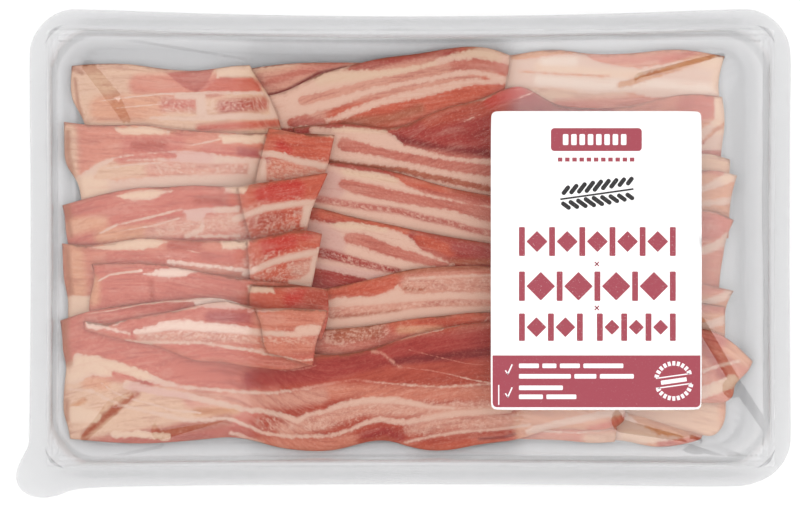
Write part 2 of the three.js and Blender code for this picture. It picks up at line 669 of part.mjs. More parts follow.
// A ring round the label
function labelRing(inset) {
  const halfX = LABEL_SIZE[0] / 2 - inset;
  const halfY = LABEL_SIZE[1] / 2 - inset;
  const round = Math.max(0.5, LABEL_CORNER - inset);
  const points = [];
  [[-1, -1], [1, -1], [1, 1], [-1, 1]].forEach(([signX, signY], corner) => {
    const middle = [signX * (halfX - round), signY * (halfY - round)];
    for (let step = 0; step <= 3; step += 1) {
      const angle = Math.PI * (1 + (corner + step / 3) / 2);
      points.push([middle[0] + Math.cos(angle) * round, middle[1] + Math.sin(angle) * round]);
    }
    const next = [[1, -1], [1, 1], [-1, 1], [-1, -1]][corner];
    const from = points[points.length - 1];
    const to = corner % 2 === 0
      ? [next[0] * (halfX - round), from[1]]
      : [from[0], next[1] * (halfY - round)];
    for (let step = 1; step < 4; step += 1) {
      points.push([from[0] + ((to[0] - from[0]) * step) / 4, from[1] + ((to[1] - from[1]) * step) / 4]);
    }
  });
  return points.map(([x, y]) => [LABEL_CENTRE[0] + x, LABEL_CENTRE[1] + y]);
}

function paperLabel() {
  const sheet = ringSheet([labelRing(0), labelRing(10), labelRing(20), labelRing(28)], LABEL_CENTRE);
  const height = settle(sheet, GAP, 80, () => 0);
  return solidFromSheet(sheet, height, LABEL_THICK);
}

function meshOf(solid, name, colour, roughness, metalness) {
  const geometry = new THREE.BufferGeometry();
  const flat = solid.positions.flat();
  geometry.setAttribute('position', new THREE.BufferAttribute(new Float32Array(flat), 3));
  geometry.setIndex(solid.triangles.flat());
  geometry.computeVertexNormals();
  const material = new THREE.MeshStandardMaterial({ color: colour, roughness, metalness });
  const mesh = new THREE.Mesh(geometry, material);
  mesh.name = name;
  return mesh;
}

function buildPack() {
  const pack = new THREE.Group();
  pack.name = 'sliced_pork_belly_pack';
  const tray = trayBody();
  raiseMap(tray);
  pack.add(meshOf(tray, 'tray', CLEAR_PLASTIC, 0.15, 0));
  SLICES.forEach((shape, index) => {
    const colour = MEAT_COLOURS[index % MEAT_COLOURS.length];
    pack.add(meshOf(laySlice(shape), shape.name, colour, 0.5, 0));
  });
  const film = lidFilm();
  raiseMap(film);
  pack.add(meshOf(film, 'lid_film', CLEAR_PLASTIC, 0.1, 0));
  pack.add(meshOf(paperLabel(), 'label', LABEL_WHITE, 0.6, 0));
  return pack;
}

export default buildPack();
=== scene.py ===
import math

import bmesh
import bpy
import numpy as np
from mathutils import Matrix


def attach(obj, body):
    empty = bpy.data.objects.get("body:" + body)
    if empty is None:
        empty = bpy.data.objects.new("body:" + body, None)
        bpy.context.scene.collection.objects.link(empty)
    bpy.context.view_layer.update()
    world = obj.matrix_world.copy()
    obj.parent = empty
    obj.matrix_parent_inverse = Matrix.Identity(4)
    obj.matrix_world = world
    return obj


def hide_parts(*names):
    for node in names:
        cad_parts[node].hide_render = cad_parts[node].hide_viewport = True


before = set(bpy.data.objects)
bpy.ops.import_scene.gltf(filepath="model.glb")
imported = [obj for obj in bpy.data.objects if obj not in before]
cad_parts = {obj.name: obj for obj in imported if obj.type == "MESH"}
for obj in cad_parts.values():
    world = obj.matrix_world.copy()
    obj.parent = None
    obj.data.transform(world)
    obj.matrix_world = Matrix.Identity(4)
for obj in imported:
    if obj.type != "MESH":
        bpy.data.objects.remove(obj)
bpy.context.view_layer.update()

MM = 0.001
FAR_AWAY = 1000.0
TINY = 1e-12

# Reading the photo from above: one pixel is this long on the pack, and this pixel is over the origin
PIXEL = 0.328 * MM
ORIGIN_PIXEL = (402.5, 253.5)
PHOTO_SIZE = (800, 505)

# Camera and floor
CAMERA_HEIGHT = 2.0
SENSOR = 36.0
FLANGE_HEIGHT = 14.0 * MM
FLOOR_SIZE = 6.0
FLOOR_DROP = 0.2 * MM

# Studio light: a white room with a dark ceiling spot, and two long light boxes beside it.
# Their reflections lie on the film left and right of the clear middle.
ROOM_LIGHT = 1.33
SPOT_LIGHT = 0.02
SPOT_EDGE = (0.965, 0.985)
BOX_HEIGHT = 1.5
BOX_LENGTH = 0.34
LEFT_BOX = (-0.21, -0.089)
RIGHT_BOX = (0.064, 0.22)
LEFT_LIGHT = 1.15
RIGHT_LIGHT = 2.2

# Film: it runs level over the slices and rises to the flange near the wall
FILM_LEVEL = 12.1 * MM
FILM_TOP = 14.4 * MM
FILM_RISE = 2.6 * MM
FILM_SEAL = 0.5 * MM
OPENING_REACH = (118.9 * MM, 71.2 * MM)
OPENING_MIDDLE = (410.5, 248.0)

# Clear plastic: gloss is the share that it reflects seen from straight above, and how rough that is
TRAY_GLOSS = (0.04, 0.08)
FILM_GLOSS = (0.08, 0.03)
TRAY_WAVES = 0.3 * MM
FILM_WAVES = 0.07 * MM
WAVE_SCALE = 28.0
SEALED_HAZE = 0.10
FILM_HAZE = 0.004
HAZE_ROUGHNESS = 4.0
STEEP_GLOSS = 0.6
STEEP_POWER = 5.0
WALL_TILT = (0.3, 1.0)
WALL_SHADE = 0.84
LEDGE_HEIGHT = 11.6 * MM

# Painted shade: the clear plastic lets less light through along the middle of the flange's long sides, a
# darker line that stands in for the light and shade of the rim's profile
FLANGE_PAINTED_SHADE = 0.90
FLANGE_SHADE_LINE = 74.2 * MM
FLANGE_SHADE_WIDTH = 1.9 * MM
FLANGE_SHADE_FADE = 14.0 * MM

# Tension folds of the film that run in from the corners: slope, half widths in millimetres, line in pixels
FOLDS = [
    (0.045, 2.0, 2.4, (88, 66), (113, 97)),
    (0.045, 2.2, 1.4, (113, 97), (126, 120)),
    (0.045, 1.2, 2.6, (84, 438), (112, 408)),
    (0.045, 2.6, 1.2, (112, 408), (130, 395)),
    (0.045, 3.0, 0.3, (160, 431), (222, 421)),
    (0.040, 3.6, 3.4, (696, 326), (733, 388)),
    (0.030, 3.4, 3.0, (733, 388), (768, 438)),
    (0.040, 1.0, 4.4, (700, 441), (625, 420)),
    (0.030, 3.0, 2.0, (690, 444), (745, 462)),
    (0.030, 1.2, 1.8, (722, 56), (640, 78)),
    (0.025, 1.2, 0.8, (160, 445), (90, 460)),
    (0.020, 1.2, 0.8, (95, 36), (245, 60)),
]

# Label and its print. Fields are left, top, right and bottom in photo pixels, with a corner radius.
LABEL_TOP = 12.53 * MM
LABEL_THICK = 0.25 * MM
PRINT_LIFT = 0.02 * MM
UPPER_PRINT_LIFT = 0.03 * MM
TOP_PRINT_LIFT = 0.04 * MM
BAND = (492.6, 361, 700.6, 407.4, 4.5)
BAND_TOP = (492.6, 355.5, 700.6, 380, 0)
BADGE = (551, 128, 642, 151, 3.5)
# Rows of equal bars: first left edge, pitch, width, top, bottom, corner radius, count
BADGE_BARS = (563, 8.3, 5.5, 134, 145, 1.2, 8)
DASHES = (558, 7.2, 4.5, 157.5, 161.5, 0, 11)
# Friezes: left, right, top, bottom, number of lozenges
FRIEZES = [
    (519, 676, 227, 256, 5),
    (519, 676, 271.5, 301, 4),
    (519, 583, 313.5, 341, 2),
    (597, 676, 313.5, 341, 3),
]
FRIEZE_BAR = 6.0
FRIEZE_GAP = 1.5
# Crosses between the friezes: column, rows, half length and half width
CROSS_COLUMN = 597
CROSS_ROWS = (264, 308)
CROSS_SIZE = (3.0, 0.6)
# Sprig: stem, then the middle of the first leaf pair and the step to the next
SPRIG_STEM = (560, 193.2, 634, 195.0, 0, 8)
LEAF_START = (566, 199)
LEAF_STEP = (8, -1.15)
LEAF_PAIRS = 9
LEAF_REACH = 7.5
LONGEST_LEAF = 3.5
LEAF_TAPER = 0.55
LEAF_CORNER = 2.1
# Leaves of a pair: top and bottom from its middle, and turn
LEAVES = [(-11, -6.6, 52), (4.4, 8.8, -36)]
# Band: rows of bars where lines of print would be, ticks before them, a side line and a ring
BAR_ROWS = [(366, (20, 14, 20, 40)), (376.5, (52, 22, 34)), (388, (44,)), (397, (24, 30))]
BAR_START = 519
BAR_SPACE = 3.5
BAR_RISE = (2.4, 2.2)
TICK_LOWS = (375, 398)
TICK_STROKES = [(509.3, 510.7, 11, -24), (506.2, 507.5, 5, 35)]
SIDE_LINE = (498.2, 385, 499.4, 405, 0, 0)
RING_MIDDLE = (674, 381)
RING_RADIUS = 17.6
RING_DASHES = 24
RING_DASH = (2.2, 1.5)
RING_TURN = 0.15
RING_OPENING = 0.3
RING_BARS = [(656, 375.4, 692, 376.6, 0, 8), (656, 385.4, 692, 386.6, 0, 8), (661, 379, 687, 383.2, 0.8, 8)]

# Meshes: how often they are subdivided, and from which bend on an edge stays sharp
SLICE_REFINE = 3
FILM_REFINE = 3
TRAY_REFINE = 2
LABEL_REFINE = 2
RIM_ANGLE = math.radians(62)
TRAY_RIM_ANGLE = math.radians(100)
QUAD_ANGLES = (math.radians(50), math.radians(60))
WELD_REACH = 0.001 * MM
UPRIGHT_REACH = 0.01 * MM
UPWARD = 0.5
UNDERSIDE = 0.2
SLICE_THINNING = 0.1 * MM

# Slices, in the order in which their grain is shifted
SLICE_NODES = [
    "slice_back", "slice_top", "slice_right_1", "slice_right_2", "slice_right_3", "slice_right_4",
    "slice_right_5", "slice_right_6", "slice_end_1", "slice_end_2", "slice_right_7", "slice_end_3",
    "slice_left_1", "slice_left_2", "slice_left_3", "slice_left_4", "slice_left_5", "slice_front",
    "slice_upper",
]
GRAIN_SHIFT = 13.7
STRIP_WIDTH = 2.5 * MM

# Softness of a mark's edge in millimetres; thin lines are sharper, and thin fat is widened to a least width
TONE_SOFTNESS = 1.6
LINE_SOFTNESS = (0.3, 0.6)
AREA_SOFTNESS = 0.35
THIN_WIDTH = 0.4
EDGE_CLAMP = 4.0
PLAIN_MARBLING = 0.15

# Noise of the meat: stretch along and across a slice, detail and roughness
MEAT_NOISE = {
    "broad": ((0.08, 0.30, 1.0), 2.0, 0.55),
    "beads": ((0.6, 0.5, 1.0), 2.0, 0.6),
    "flecks": ((0.95, 1.3, 1.0), 4.0, 0.78),
    "fibres": ((0.07, 0.95, 1.0), 3.0, 0.65),
}
# How the noise moves the border between fat and lean, in millimetres
BORDER_SWINGS = [("beads", 1.7), ("flecks", 1.9)]
BORDER_WIDTH = 0.4
# How the noise turns the lean paler or darker: noise, where it starts and ends, share
LEAN_CHANGES = [
    ("broad", 0.50, 0.28, 0.45, "pale"),
    ("broad", 0.50, 0.72, 0.60, "dark"),
    ("fibres", 0.52, 0.72, 0.40, "pale"),
    ("fibres", 0.50, 0.30, 0.60, "dark"),
    ("flecks", 0.52, 0.30, 0.50, "dark"),
    ("flecks", 0.50, 0.68, 0.45, "pale"),
]
# How the noise lets lean show in the fat
FAT_CHANGES = [("flecks", 0.50, 0.72, 0.26), ("fibres", 0.52, 0.75, 0.24)]
PALE_SHARE = 0.4
# Marbling: how noise and the marbled places add up, where it starts and ends, and its share
MOTTLE_MIX = (0.6, 0.4, 0.12)
MOTTLE_RANGE = (0.55, 0.76)
MOTTLE_SHARE = (0.55, 0.1)
# Fat near its border takes up some lean: where that starts and ends in millimetres, and its share
FAT_BLEED = (-1.4, 0.1, 0.2)
# Rims: millimetres from the edge between which they fade in, and their share. They are the meat's own darker
# cut edge, and where a slice's folded end lies over the slice, the same lines fall on the part beneath as
# painted contact shadow.
BROWN_RIM = (2.0, 0.3, 0.22)
DARK_RIM = (0.8, 0.15)
RIM_SWING = 1.6
# The dark rim is stronger on the side of the rind: its reach in millimetres, what it adds, and the least
RIND_REACH = (3.5, 0.8)
RIND_SHARE = (0.55, 0.15)
CRUST_SHARE = 0.85
LEAN_SHADE = (0.72, 0.52, 0.52)


def srgb(code):
    """A colour written as in a paint chart, as the linear values that a shader takes."""
    parts = [int(code[i:i + 2], 16) / 255 for i in (1, 3, 5)]
    return tuple(p / 12.92 if p <= 0.04045 else ((p + 0.055) / 1.055) ** 2.4 for p in parts)


LEAN = srgb("#b9523f")
FAT = srgb("#e0b6a2")
CRUST = srgb("#a05a38")
RIM_LINE = srgb("#7c4127")
MILK = srgb("#dcdcdd")
TRAY_TINT = (0.87, 0.87, 0.875)
FILM_TINT = (0.965, 0.965, 0.965)
PAPER = srgb("#fdfcfc")
PAPER_GRAIN = srgb("#f3efee")
INK_RED = srgb("#9d4451")
INK_DARK = srgb("#2c2a2b")
INK_WHITE = srgb("#f6eef0")
BARE_PAPER = srgb("#f6efee")
PAPER_SCALE = 1500.0
INK_SCALE = 2600.0
INK_GAPS = (0.62, 0.72)
FLOOR_TONES = (srgb("#fbfbfb"), srgb("#fefefe"))

# Tones of the lean, by name
TONES = {
    "bright": srgb("#c2372a"),
    "red": srgb("#b44c38"),
    "deep": srgb("#a63a32"),
    "dark": srgb("#862724"),
    "orange": srgb("#c85d44"),
    "brown": srgb("#b06046"),
    "purple": srgb("#ab4a44"),
    "mid": srgb("#c57261"),
    "rose_clear": srgb("#c06c5e"),
    "tan": srgb("#d49580"),
    "rose": srgb("#c86a58"),
    "salmon": srgb("#d07e66"),
    "peach": srgb("#d69674"),
    "amber": srgb("#cc8b5e"),
    "blush": srgb("#dab093"),
}
# Tones of the fat, by name
FAT_TONES = {
    "cream": srgb("#e0bda3"),
    "white": srgb("#eaccbc"),
    "bright_fat": srgb("#e4cbba"),
    "pale": srgb("#d9b5a2"),
    "lilac": srgb("#d6a99c"),
    "pink": srgb("#d59480"),
    "vein": srgb("#cb7a68"),
}

# How each slice is marked. A line has a name, one half width in millimetres or one for each end, and
# its points. An area has a name and its outline. A tone can also lie everywhere. Points are written as
# in a drawn polyline, x,y in photo pixels. Later marks lie over earlier ones.
EVERYWHERE = None
# A blob of fat that two slices share
FAT_BLOB = "190,300 200,297 222,295 240,301 252,308 235,310 215,309 196,307"
MARKS = {}
MARKS["slice_back"] = [
    ("peach", 40, "500,80 735,80"),
    ("pale", 40, "500,80 735,80"),
    ("fat_area", "500,40 735,40 735,130 500,130"),
    ("lean_area", "512,50 533,49 545,48 580,47 576,52 545,55 525,58 512,58"),
    ("amber", 1.4, 1.2, "512,54 545,49 582,48"),
    ("lean_area", "583,52 632,50 676,46 703,48 714,54 700,59 680,60 662,64 640,67 615,64 595,59"),
    ("salmon", 2.2, "590,57 640,60 676,55"),
    ("orange", 1.2, 1.6, "664,60 700,52 712,54"),
    ("lean", 1, 1.3, "622,84 645,77 667,70 690,62 712,54"),
    ("amber", 1.6, 1.8, "622,84 645,77 690,62 718,52"),
    ("cream", 1.6, "540,66 600,72 640,74"),
    ("bright_fat", 1.4, "545,60 575,60"),
    ("bright_fat", 1.6, "540,79 600,84 650,82 718,88"),
    ("lean", 0.3, "520,70 560,73 610,75"),
    ("lean_area", "512,90 530,86 560,88 590,93 615,92 632,91 650,96 676,97 690,112 512,112"),
    ("blush", 3, "530,94 590,98 620,95"),
    ("salmon", 2.5, "560,106 640,102 680,104"),
    ("orange", 1.5, "514,104 560,107 600,109"),
    ("cream", 2.6, "708,60 724,62 722,84"),
    ("tan", 7, 6, "246,78 300,68 350,60"),
    ("blush", 2.4, 1.4, "250,65 290,62"),
    ("fat", 0.7, 0.3, "250,68 275,65 300,63"),
    ("mid", 1, 1.2, "258,84 300,71 345,61"),
    ("brown", 0.7, "300,60 350,57"),
    # A dark line on this slice along the upper-left edge of slice_top: it stands in for that edge's dark rim
    # line, and lies as painted shade at the step
    ("dark", 0.5, "262,96 285,90 305,79 318,72 345,66"),
]
MARKS["slice_top"] = [
    ("fat_area", "255,96 285,80 330,64 420,50 460,44 520,44 520,84 475,84 420,97 380,105 345,118 320,124 "
        "262,130"),
    ("lean_area", "345,69 362,56 400,52 430,47 452,42 478,46 455,52 440,57 420,64 400,67 380,69"),
    ("brown", 1.6, "470,45 505,52"),
    ("deep", 4, 3, "355,62 400,59 450,50"),
    ("lean", 1.4, 1.2, "302,100 320,96 345,89 370,83 400,77"),
    ("lean", 1.2, 2, "400,77 430,71 455,65 475,63 512,70"),
    ("tan", 5, "302,100 345,89 400,77 440,69"),
    ("mid", 3, "460,65 512,70"),
    ("lean", 1.3, 0.9, "317,115 332,112 345,106 370,97 400,89"),
    ("lean", 0.9, 0.4, "400,89 430,83 455,78 475,75 490,78"),
    ("tan", 2.5, "317,115 370,97 430,83 490,77"),
    ("cream", 2, "320,78 370,73 430,62"),
    ("cream", 2, "450,50 475,51 495,56"),
    ("orange", 5, "340,120 400,110 500,88"),
    ("brown", 1.6, "345,122 390,118 420,108"),
    ("brown", 0.6, "510,54 511,80"),
    ("lean", 1.6, 2, "292,122 306,119 320,122"),
    ("rose_clear", 1.6, "296,122 318,122"),
]
MARKS["slice_right_1"] = [
    ("deep", 40, "320,130 500,130"),
    ("dark", 1.6, "395,138 440,150 500,154"),
    ("red", 3, "430,118 470,108 500,104"),
    ("orange", 2.4, "455,96 490,88"),
    ("fat_area", "310,124 326,127 345,126 370,128 385,129 395,136 405,145 425,150 450,156 470,158 505,158 "
        "520,205 400,180 310,168"),
    ("cream", 1, "335,128 385,130"),
    ("fat", 0.7, 0.5, "392,128 410,120 430,111 450,104"),
    ("fat", 0.5, 0.3, "450,104 465,101 485,98 497,89 500,84"),
    ("pink", 1.4, "392,128 450,104 500,86"),
    ("fat", 0.15, 0.1, "464,121 482,113"),
    ("lean", 2.2, 1.3, "344,144 360,147 385,153"),
    ("lean", 1.3, 1.9, "385,153 412,158 442,164 470,168 505,172"),
    ("mid", 4, "344,144 400,156 500,172"),
    ("lean", 0.6, 1, "324,160 350,164 375,167 400,169 420,174 460,182 505,192"),
    ("brown", 2, "324,160 400,169 500,191"),
    ("fat", 0.2, "520,97 533,92 538,88"),
    ("bright", 2.5, "492,100 510,94 530,84"),
    ("salmon", 8, "640,102 722,102"),
    ("rose", 4, "690,108 715,104"),
    ("pale", 20, "640,110 735,110"),
    ("fat_area", "716,96 732,94 732,150 698,150 702,130 716,118"),
    ("peach", 3, "700,132 722,128"),
    ("lean", 0.5, 0.8, "704,142 716,130 726,124"),
    ("fat", 0.3, 0.8, "700,132 712,128 722,120"),
    ("cream", 3, "722,96 724,125"),
]
MARKS["slice_right_2"] = [
    ("blush", 40, "690,160 740,170"),
    ("pale", 40, "690,160 740,170"),
    ("orange", 1.6, "700,140 730,138"),
    ("fat", 1.6, 2.2, "695,151 735,147"),
    ("cream", 3, "715,150 735,148"),
]
MARKS["slice_right_3"] = [
    ("peach", 40, "690,180 740,190"),
    ("pale", 40, "690,180 740,190"),
    ("rose", 2.5, "700,162 725,168"),
    ("fat", 0.8, 2.2, "696,192 720,182 740,172"),
    ("fat", 0.8, 1.2, "700,204 732,200"),
    ("cream", 2, "728,178 740,172"),
]
MARKS["slice_right_4"] = [
    ("deep", 40, "430,190 500,205"),
    ("orange", 2.2, 2, "400,180 430,187 455,193"),
    ("red", 1.6, 2.6, "455,192 480,197 500,203"),
    ("fat_area", "305,158 330,165 360,170 385,173 395,177 410,187 430,194 455,200 475,205 505,207 520,250 "
        "305,215"),
    ("cream", 1.2, "345,171 395,180"),
    # Painted shade: a lilac patch on this slice just right of the edge of the folded end, where that edge
    # casts shade
    ("lilac", 5, "315,180 330,186"),
    ("lean", 1.8, 2.1, "344,184 360,188"),
    ("lean", 2.1, 1.5, "360,188 390,195 430,202 455,206"),
    ("lean", 1.5, 2.6, "455,206 475,211 505,218"),
    ("mid", 4, "344,184 400,197 500,216"),
    ("lean", 1.3, 1.1, "308,197 330,201 350,204 370,207 400,211"),
    ("lean", 1.1, "400,211 425,218 450,223 470,229 505,236"),
    ("rose_clear", 3, "308,197 400,211 500,236"),
    ("marble", 3, "308,197 400,211 500,236"),
    ("salmon", 40, "680,225 740,235"),
    ("pale", 20, "690,225 740,225"),
    ("fat", 1.2, 1.8, "698,253 718,246 730,238"),
    ("fat", 0.8, "705,208 730,212"),
    ("rose", 4, "700,228 722,226"),
]
MARKS["slice_right_5"] = [
    ("deep", 40, "440,260 500,265"),
    ("orange", 1.4, 1.6, "322,214 360,220 405,230"),
    ("orange", 2, "420,240 450,250"),
    ("purple", 1.5, 2.6, "455,247 475,250 491,252"),
    ("brown", 1, "420,262 491,262"),
    ("fat_area", "305,218 330,223 350,221 375,225 395,230 408,235 415,242 422,250 435,256 455,265 440,272 "
        "400,285 380,282 305,266"),
    ("cream", 1.2, "335,224 385,228"),
    # Painted shade: a lilac patch on this slice just right of the edge of the folded end, where that edge
    # casts shade
    ("lilac", 5, "315,236 330,244"),
    ("lean", 1.8, 2.1, "350,238 362,240"),
    ("lean", 2.1, 1.7, "362,240 378,246 395,252 412,257"),
    ("lean", 1.7, 0.8, "412,257 430,262 446,265"),
    ("mid", 3, "350,238 395,252 440,264"),
    ("lean", 1.8, 1, "310,251 335,256 350,260 365,264 380,268 398,271"),
    ("deep", 2, "330,254 365,264 395,271"),
    ("marble", 3, "310,251 365,264 398,271"),
    ("lilac", 1.5, "312,266 340,271 380,277"),
    ("lean", 0.8, "306,274 340,279 372,283"),
    # Painted shade: a purple patch on this slice just right of the edge of the folded end, where that edge
    # casts shade
    ("purple", 3, "308,284 330,286"),
    ("peach", 40, "680,270 740,280"),
    ("pale", 20, "690,280 740,280"),
    ("fat", 1.8, 2, "695,262 725,268"),
    ("white", 3, "700,264 725,268"),
    ("salmon", 2.5, "700,288 730,290"),
    ("fat", 0.8, 1.8, "698,306 722,298 738,291"),
]
MARKS["slice_right_6"] = [
    ("orange", 40, "330,290 500,290"),
    ("brown", 1.6, "400,271 440,268 500,266"),
    ("fat_area", "325,302 335,298 345,297 370,297 385,293 398,285 405,293 420,294 450,292 505,293 505,330 "
        "325,330"),
    ("fat", 0.4, 0.3, "410,279 440,277 495,275"),
    ("tan", 3.5, "410,285 450,284 500,284"),
    ("brown", 0.7, "405,288 416,291 424,289"),
    ("lean", 2, 1.5, "326,313 350,312 375,310 400,307"),
    ("lean", 1.3, 1.2, "400,307 430,304 460,303 505,303"),
    ("tan", 4, "326,313 400,307 500,303"),
    ("brown", 0.7, 0.5, "332,319 370,315 400,311"),
    ("marble", 3, "326,313 400,307 500,303"),
    ("marble", 3, "410,285 500,284"),
    ("peach", 40, "680,310 740,315"),
    ("pale", 20, "690,310 740,310"),
    ("salmon", 1.6, "700,308 720,308"),
    ("fat", 1.2, 1.6, "700,328 722,322 736,314"),
    ("orange", 0.8, "727,306 728,320"),
]
MARKS["slice_right_7"] = [
    ("mid", 40, "330,340 490,330"),
    ("fat", 0.9, 0.8, "324,324 350,321 375,319 395,315 415,312"),
    ("fat", 0.8, 0.7, "415,312 440,310 500,308"),
    ("brown", 3, "335,335 375,330"),
    ("orange", 2.5, "395,325 445,322 480,318"),
    ("peach", 1.2, "400,330 440,330"),
    ("marble", 3.5, "330,338 380,332"),
    ("fat", 0.2, "488,318 478,331"),
    ("salmon", 40, "690,350 750,370"),
    ("pale", 30, "690,360 760,360"),
    ("rose", 3, "704,332 722,340"),
    ("peach", 3, "735,350 748,358"),
    ("red", 1.5, "704,345 722,372 730,386"),
    ("fat", 0.4, 0.6, "705,372 722,366 740,362"),
    ("fat", 2, 2.2, "704,394 735,382"),
    ("cream", 3, "720,392 742,380"),
]
MARKS["slice_end_1"] = [
    ("peach", EVERYWHERE),
    ("pale", EVERYWHERE),
    ("fat_area", "560,400 620,408 640,424 660,436 705,440 705,460 560,460"),
    ("amber", 3.6, 2, "634,418 655,428 695,437"),
    ("lean_area", "640,446 668,442 700,436 706,444 672,452"),
    ("orange", 1.6, 1.4, "664,447 702,441"),
    ("cream", 2, "628,438 655,442"),
]
MARKS["slice_end_2"] = [
    ("blush", EVERYWHERE),
    ("pale", EVERYWHERE),
    ("peach", 2, "726,404 729,430"),
    ("fat", 0.8, 1.2, "650,404 700,402"),
    ("cream", 2.5, "705,425 724,432"),
]
MARKS["slice_end_3"] = [
    ("salmon", EVERYWHERE),
    ("pale", EVERYWHERE),
    ("fat_area", "460,395 640,395 640,418 600,420 570,424 530,430 460,432"),
    ("fat", 0.3, "545,432 580,434 610,430"),
    ("blush", 2, "590,440 622,438"),
]
MARKS["slice_left_1"] = [
    ("blush", EVERYWHERE),
    ("pale", EVERYWHERE),
    ("salmon", 3.5, 4, "138,84 170,84 215,84"),
    ("rose", 1.8, "205,84 256,84"),
    ("orange_area", "216,77 252,77 262,91 200,92 208,85"),
    ("red_area", "165,72 214,66 205,84 196,92 182,86"),
    ("fat_area", "216,56 247,56 256,75 216,76"),
    ("cream", 3, "216,68 254,68"),
    ("cream", 2.4, "95,68 140,72 160,76"),
    ("fat", 0.15, 0.4, "98,100 130,96 160,93 200,92"),
    ("fat", 0.5, "200,92 262,92"),
    ("fat", 0.15, 0.2, "115,107 140,105 160,103"),
    ("fat_area", "172,92 204,92 206,116 196,116 194,98 174,98"),
    ("fat_area", "262,90 285,90 285,128 270,120 268,100"),
    ("fat", 0.5, 1.2, "150,117 180,118 210,117 240,115 280,118"),
    ("peach", 4.2, "100,108 152,106"),
    ("rose", 2.2, "165,104 192,103"),
    ("red", 2.2, "222,106 262,103"),
    ("marble", 3, "164,105 264,105"),
    ("lean", 1.2, 1.4, "192,128 222,125 239,125 280,122"),
    ("orange", 1.4, "199,128 239,125 280,122"),
    ("crust", 0.6, "69,66 80,72"),
    ("crust", 0.5, "73,78 76,102 80,116"),
]
MARKS["slice_left_2"] = [
    ("salmon", EVERYWHERE),
    ("pale", EVERYWHERE),
    ("blush", 3, 1.5, "66,132 72,176"),
    ("peach", 2, "130,130 170,134"),
    ("rose", 3, "128,144 175,142"),
    ("red", 1.6, "134,145 160,143"),
    ("fat_area", "113,127 150,126 168,130 168,133 139,134 118,133"),
    ("fat_area", "217,134 268,132 264,143 222,143"),
    ("cream", 2, "120,130 160,130"),
    ("cream", 2, "222,138 264,138"),
    ("fat", 0.2, 0.3, "188,145 205,142 222,138"),
    ("rose", 2, "206,150 240,152"),
    # Painted shade: a dark purple line on this slice just left of the edge of its folded end, where the step
    # casts shade
    ("purple", 1.4, 2.4, "240,151 264,155"),
    ("fat_area", "62,190 72,178 90,166 105,159 120,155 156,152 180,150 200,151 222,155 266,159 266,190 "
        "60,210"),
    ("blush", 3, "100,172 140,168"),
    ("lean_area", "92,178 96,168 112,161 150,160 200,163 256,163 256,174 200,174 150,176 115,180"),
    ("lean", 0.6, 0.9, "113,160 130,157 150,155 172,155"),
    ("fat", 0.25, 0.3, "104,168 130,164 160,162"),
    ("rose", 1.6, "120,159 172,155"),
    ("tan", 2.4, 3, "150,168 200,168 256,168"),
    ("lilac", 2.5, "170,155 205,156"),
    ("cream", 4, "68,190 95,186"),
    ("marble", 3, "160,168 256,168"),
    ("crust", 0.9, "66,132 66,150 70,174"),
    ("orange", 5, "274,142 322,146"),
    ("bright", 1.7, 1.2, "280,145 288,150"),
    ("lean_area", "266,122 338,120 334,160 264,151"),
    ("fat", 1.1, "262,153 277,154 300,161 330,167"),
    ("fat_area", "248,160 262,164 268,186 246,190"),
    ("salmon", 3.2, "268,174 320,174"),
    ("marble", 5, "266,172 320,172"),
    ("fat_area", "312,120 338,120 338,138 318,135"),
    ("cream", 2, "316,130 330,136"),
]
MARKS["slice_left_3"] = [
    ("rose", EVERYWHERE),
    ("pale", EVERYWHERE),
    ("peach", 3, 2, "72,226 100,222"),
    ("rose", 2.4, 3, "120,206 160,204 238,200"),
    ("red", 1.4, 2, "196,200 236,199"),
    ("crust", 1.3, 1.1, "64,204 67,217"),
    ("fat_area", "112,196 130,191 150,189 172,190 150,199 128,200"),
    ("cream", 2, "118,196 155,192"),
    ("fat_area", "222,180 240,180 238,193 224,193"),
    ("fat", 0.3, 0.4, "98,233 115,225 140,219 165,213 180,209"),
    ("fat_area", "180,209 206,207 244,206 244,212 206,213 200,221 186,220"),
    ("lilac", 2.5, "184,214 206,213"),
    ("fat", 0.2, 0.25, "118,231 150,226 178,218"),
    ("peach", 2.5, "100,236 150,232"),
    ("tan", 2.5, 3.5, "150,233 180,227 245,220"),
    ("fat", 1, 0.3, "186,236 200,230 202,220"),
    ("fat", 0.5, "196,236 245,236"),
    ("marble", 3, "160,228 240,222"),
    ("crust", 0.7, "66,218 69,236"),
    ("lean_area", "238,184 332,174 332,232 240,240"),
    ("orange", 6, "246,200 320,188"),
    ("bright", 3.2, 3.6, "264,194 294,189"),
    ("fat", 1.1, 1, "234,219 265,208 292,204 316,202"),
    ("fat_area", "232,182 248,185 244,194 234,192"),
    ("fat_area", "303,203 318,203 308,228 300,226"),
    ("orange", 4, "250,226 300,220"),
    ("red", 2, "252,222 280,216"),
    ("marble", 8, "250,226 300,220"),
    ("cream", 2, "236,187 247,190"),
]
